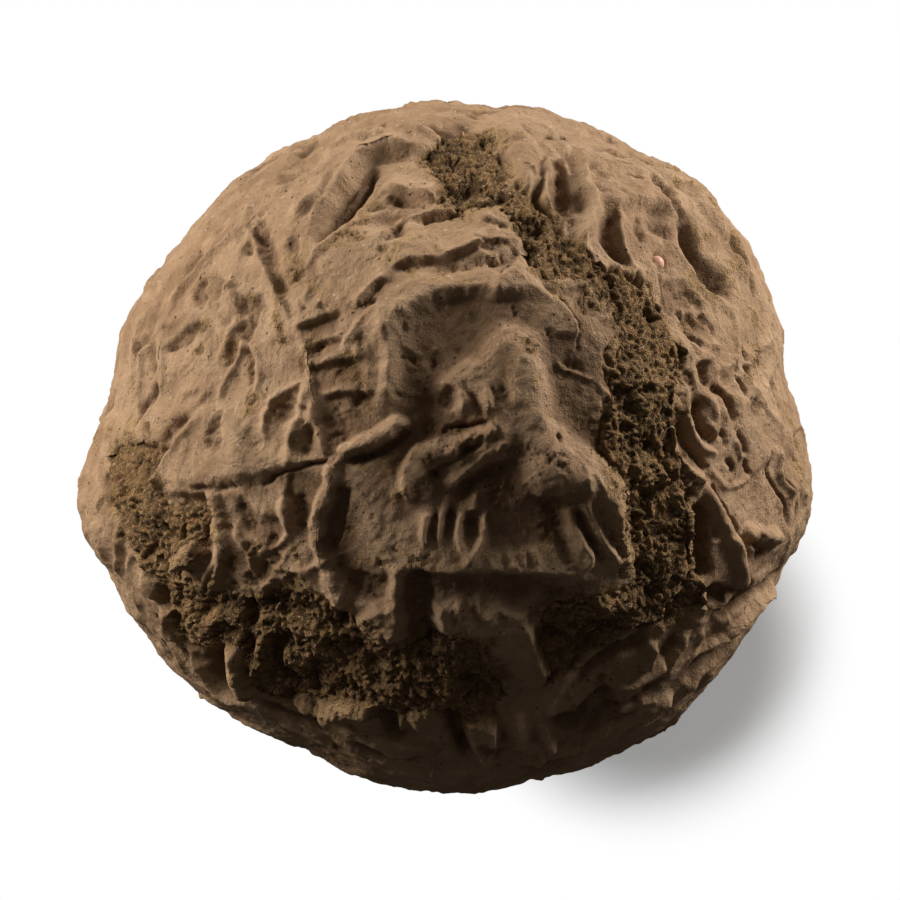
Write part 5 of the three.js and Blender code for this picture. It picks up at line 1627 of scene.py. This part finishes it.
def make_lamps(floor):
    """Two raking lamps and a weak wide one for the object, and a sun for the floor's shadow."""
    chosen = settings()
    for lamp in (
            add_lamp("left_lamp", towards=(-0.87, 0.45, 0.19), distance=0.30, size=0.16,
                     power=chosen.left_power, colour=WARM_LIGHT),
            add_lamp("right_lamp", towards=(0.77, 0.60, 0.02), distance=0.26, size=0.12,
                     power=chosen.right_power, colour=RIGHT_LIGHT),
            add_lamp("soft_lamp", towards=(-0.25, 0.80, 0.52), distance=0.32, size=0.30,
                     power=chosen.soft_power, colour=WARM_LIGHT)):
        link_light(lamp, floor, "EXCLUDE")
    sun = bpy.data.lights.new("shadow_lamp", "SUN")
    sun.energy = 0.82 * math.pi
    sun.angle = math.radians(16)
    shade = bpy.data.objects.new("shadow_lamp", sun)
    bpy.context.scene.collection.objects.link(shade)
    shade.rotation_euler = Vector((-0.25, 0.23, 0.94)).to_track_quat("Z", "Y").to_euler()
    link_light(shade, floor, "INCLUDE")


def make_surround():
    """A surround that is white to the camera and dim to all else."""
    world = bpy.data.worlds.new("white_surround")
    bpy.context.scene.world = world
    world.use_nodes = True
    tree = world.node_tree
    tree.nodes.clear()
    path = add_node(tree, "ShaderNodeLightPath")
    fill = add_node(tree, "ShaderNodeBackground", {"Color": FILL_COLOUR,
                                                   "Strength": settings().fill_strength})
    white = add_node(tree, "ShaderNodeBackground", {"Color": WHITE, "Strength": 1.0})
    mix = add_node(tree, "ShaderNodeMixShader", {0: path.outputs["Is Camera Ray"], 1: fill.outputs[0],
                                                 2: white.outputs[0]})
    output = add_node(tree, "ShaderNodeOutputWorld")
    tree.links.new(mix.outputs[0], output.inputs["Surface"])


def make_camera():
    """The camera of the view, straight above the ball."""
    scene = bpy.context.scene
    camera = bpy.data.cameras.new("view")
    distance = VIEW_DISTANCE_SHARE * MEAN_RADIUS * MM
    camera.sensor_width = 36
    camera.lens = camera.sensor_width * distance / (VIEW_WIDTH * MM_PER_PIXEL * MM)
    camera.shift_x = (VIEW_WIDTH / 2 - VIEW_CENTRE[0]) / VIEW_WIDTH
    camera.shift_y = (VIEW_CENTRE[1] - VIEW_WIDTH / 2) / VIEW_WIDTH
    camera.clip_start = 0.01
    camera.clip_end = 10
    eye = bpy.data.objects.new("view", camera)
    scene.collection.objects.link(eye)
    eye.location = (0, 0, CENTRE_HEIGHT * MM + distance)
    scene.camera = eye
    scene.view_settings.view_transform = "Standard"


class BullaSettings(bpy.types.PropertyGroup):
    """Sizes and colours of the bulla's finish."""

    skin_spacing: bpy.props.FloatProperty(
        name="Skin spacing", description="Distance between the points of the slabs that the view shows",
        default=0.000165, min=0.0001, max=0.002, unit="LENGTH")
    hidden_spacing: bpy.props.FloatProperty(
        name="Hidden spacing", description="Distance between the points of the slab underneath",
        default=0.00033, min=0.0001, max=0.004, unit="LENGTH")
    skin_colour: bpy.props.FloatVectorProperty(
        name="Fine clay", description="Colour of the fine clay's skin", default=(0.40, 0.257, 0.146),
        min=0, max=1, subtype="COLOR")
    grit_colour: bpy.props.FloatVectorProperty(
        name="Grit", description="Colour of the dark coarse clay", default=(0.26, 0.150, 0.062),
        min=0, max=1, subtype="COLOR")
    token_colour: bpy.props.FloatVectorProperty(
        name="Token clay", description="Colour of the tokens", default=(0.42, 0.29, 0.18),
        min=0, max=1, subtype="COLOR")
    left_power: bpy.props.FloatProperty(
        name="Left lamp", description="Power of the raking lamp on the left, in watts", default=1.46, min=0)
    right_power: bpy.props.FloatProperty(
        name="Right lamp", description="Power of the low lamp on the right, in watts", default=1.28, min=0)
    soft_power: bpy.props.FloatProperty(
        name="Soft lamp", description="Power of the wide lamp over the far side, in watts",
        default=0.05, min=0)
    fill_strength: bpy.props.FloatProperty(
        name="Fill", description="Strength of the surround's light", default=0.072, min=0)


class BULLA_OT_stage(bpy.types.Operator):
    """Make the floor, the lamps, the surround and the camera"""

    bl_idname = "bulla.stage"
    bl_label = "Stage"

    def execute(self, context):
        make_lamps(make_floor())
        make_surround()
        make_camera()
        return {"FINISHED"}


class BULLA_OT_core_wall(bpy.types.Operator):
    """Make the hollow core wall and the grit that shows between the slabs"""

    bl_idname = "bulla.core_wall"
    bl_label = "Core wall"

    def execute(self, context):
        make_core_wall()
        return {"FINISHED"}


class BULLA_OT_filling_plug(bpy.types.Operator):
    """Make the stopper of the filling hole"""

    bl_idname = "bulla.filling_plug"
    bl_label = "Filling plug"

    def execute(self, context):
        hand_worked("filling_plug", "bulla", coarse_clay,
                    edge=0.8, grain=0.3, lump=2.5, depth=0.12)
        return {"FINISHED"}


class BULLA_OT_slabs(bpy.types.Operator):
    """Make the slabs of fine clay with their seal impressions"""

    bl_idname = "bulla.slabs"
    bl_label = "Slabs"

    def execute(self, context):
        for name in SLABS:
            make_slab(name)
        return {"FINISHED"}


class BULLA_OT_pebble(bpy.types.Operator):
    """Make the small pebble in its pit"""

    bl_idname = "bulla.pebble"
    bl_label = "Pebble"

    def execute(self, context):
        hand_worked("pebble_inclusion", "bulla", pebble_stone,
                    edge=0.1, grain=0.05, lump=0.6, depth=0.03)
        return {"FINISHED"}


class BULLA_OT_tokens(bpy.types.Operator):
    """Make the counting tokens that lie loose in the hollow"""

    bl_idname = "bulla.tokens"
    bl_label = "Tokens"

    def execute(self, context):
        for node in TOKEN_NODES:
            hand_worked(node, node, token_clay, edge=0.7, grain=0.2, lump=3.0, depth=0.1)
        return {"FINISHED"}


PIECE_OPERATORS = (BULLA_OT_stage, BULLA_OT_core_wall, BULLA_OT_filling_plug, BULLA_OT_slabs, BULLA_OT_pebble,
                   BULLA_OT_tokens)


class BULLA_PT_panel(bpy.types.Panel):
    """Lists the bulla's settings and pieces"""

    bl_idname = "BULLA_PT_panel"
    bl_label = "Clay Bulla"
    bl_space_type = "VIEW_3D"
    bl_region_type = "UI"
    bl_category = "Bulla"

    def draw(self, context):
        for name in BullaSettings.__annotations__:
            self.layout.prop(context.scene.bulla, name)
        for operator in PIECE_OPERATORS:
            self.layout.operator(operator.bl_idname)


CLASSES = (BullaSettings,) + PIECE_OPERATORS + (BULLA_PT_panel,)


def register():
    for cls in CLASSES:
        bpy.utils.register_class(cls)
    bpy.types.Scene.bulla = bpy.props.PointerProperty(type=BullaSettings)


def unregister():
    del bpy.types.Scene.bulla
    for cls in reversed(CLASSES):
        bpy.utils.unregister_class(cls)


def main():
    register()
    bpy.ops.bulla.stage()
    bpy.ops.bulla.core_wall()
    bpy.ops.bulla.filling_plug()
    bpy.ops.bulla.slabs()
    bpy.ops.bulla.pebble()
    bpy.ops.bulla.tokens()


if __name__ == "__main__":
    main()
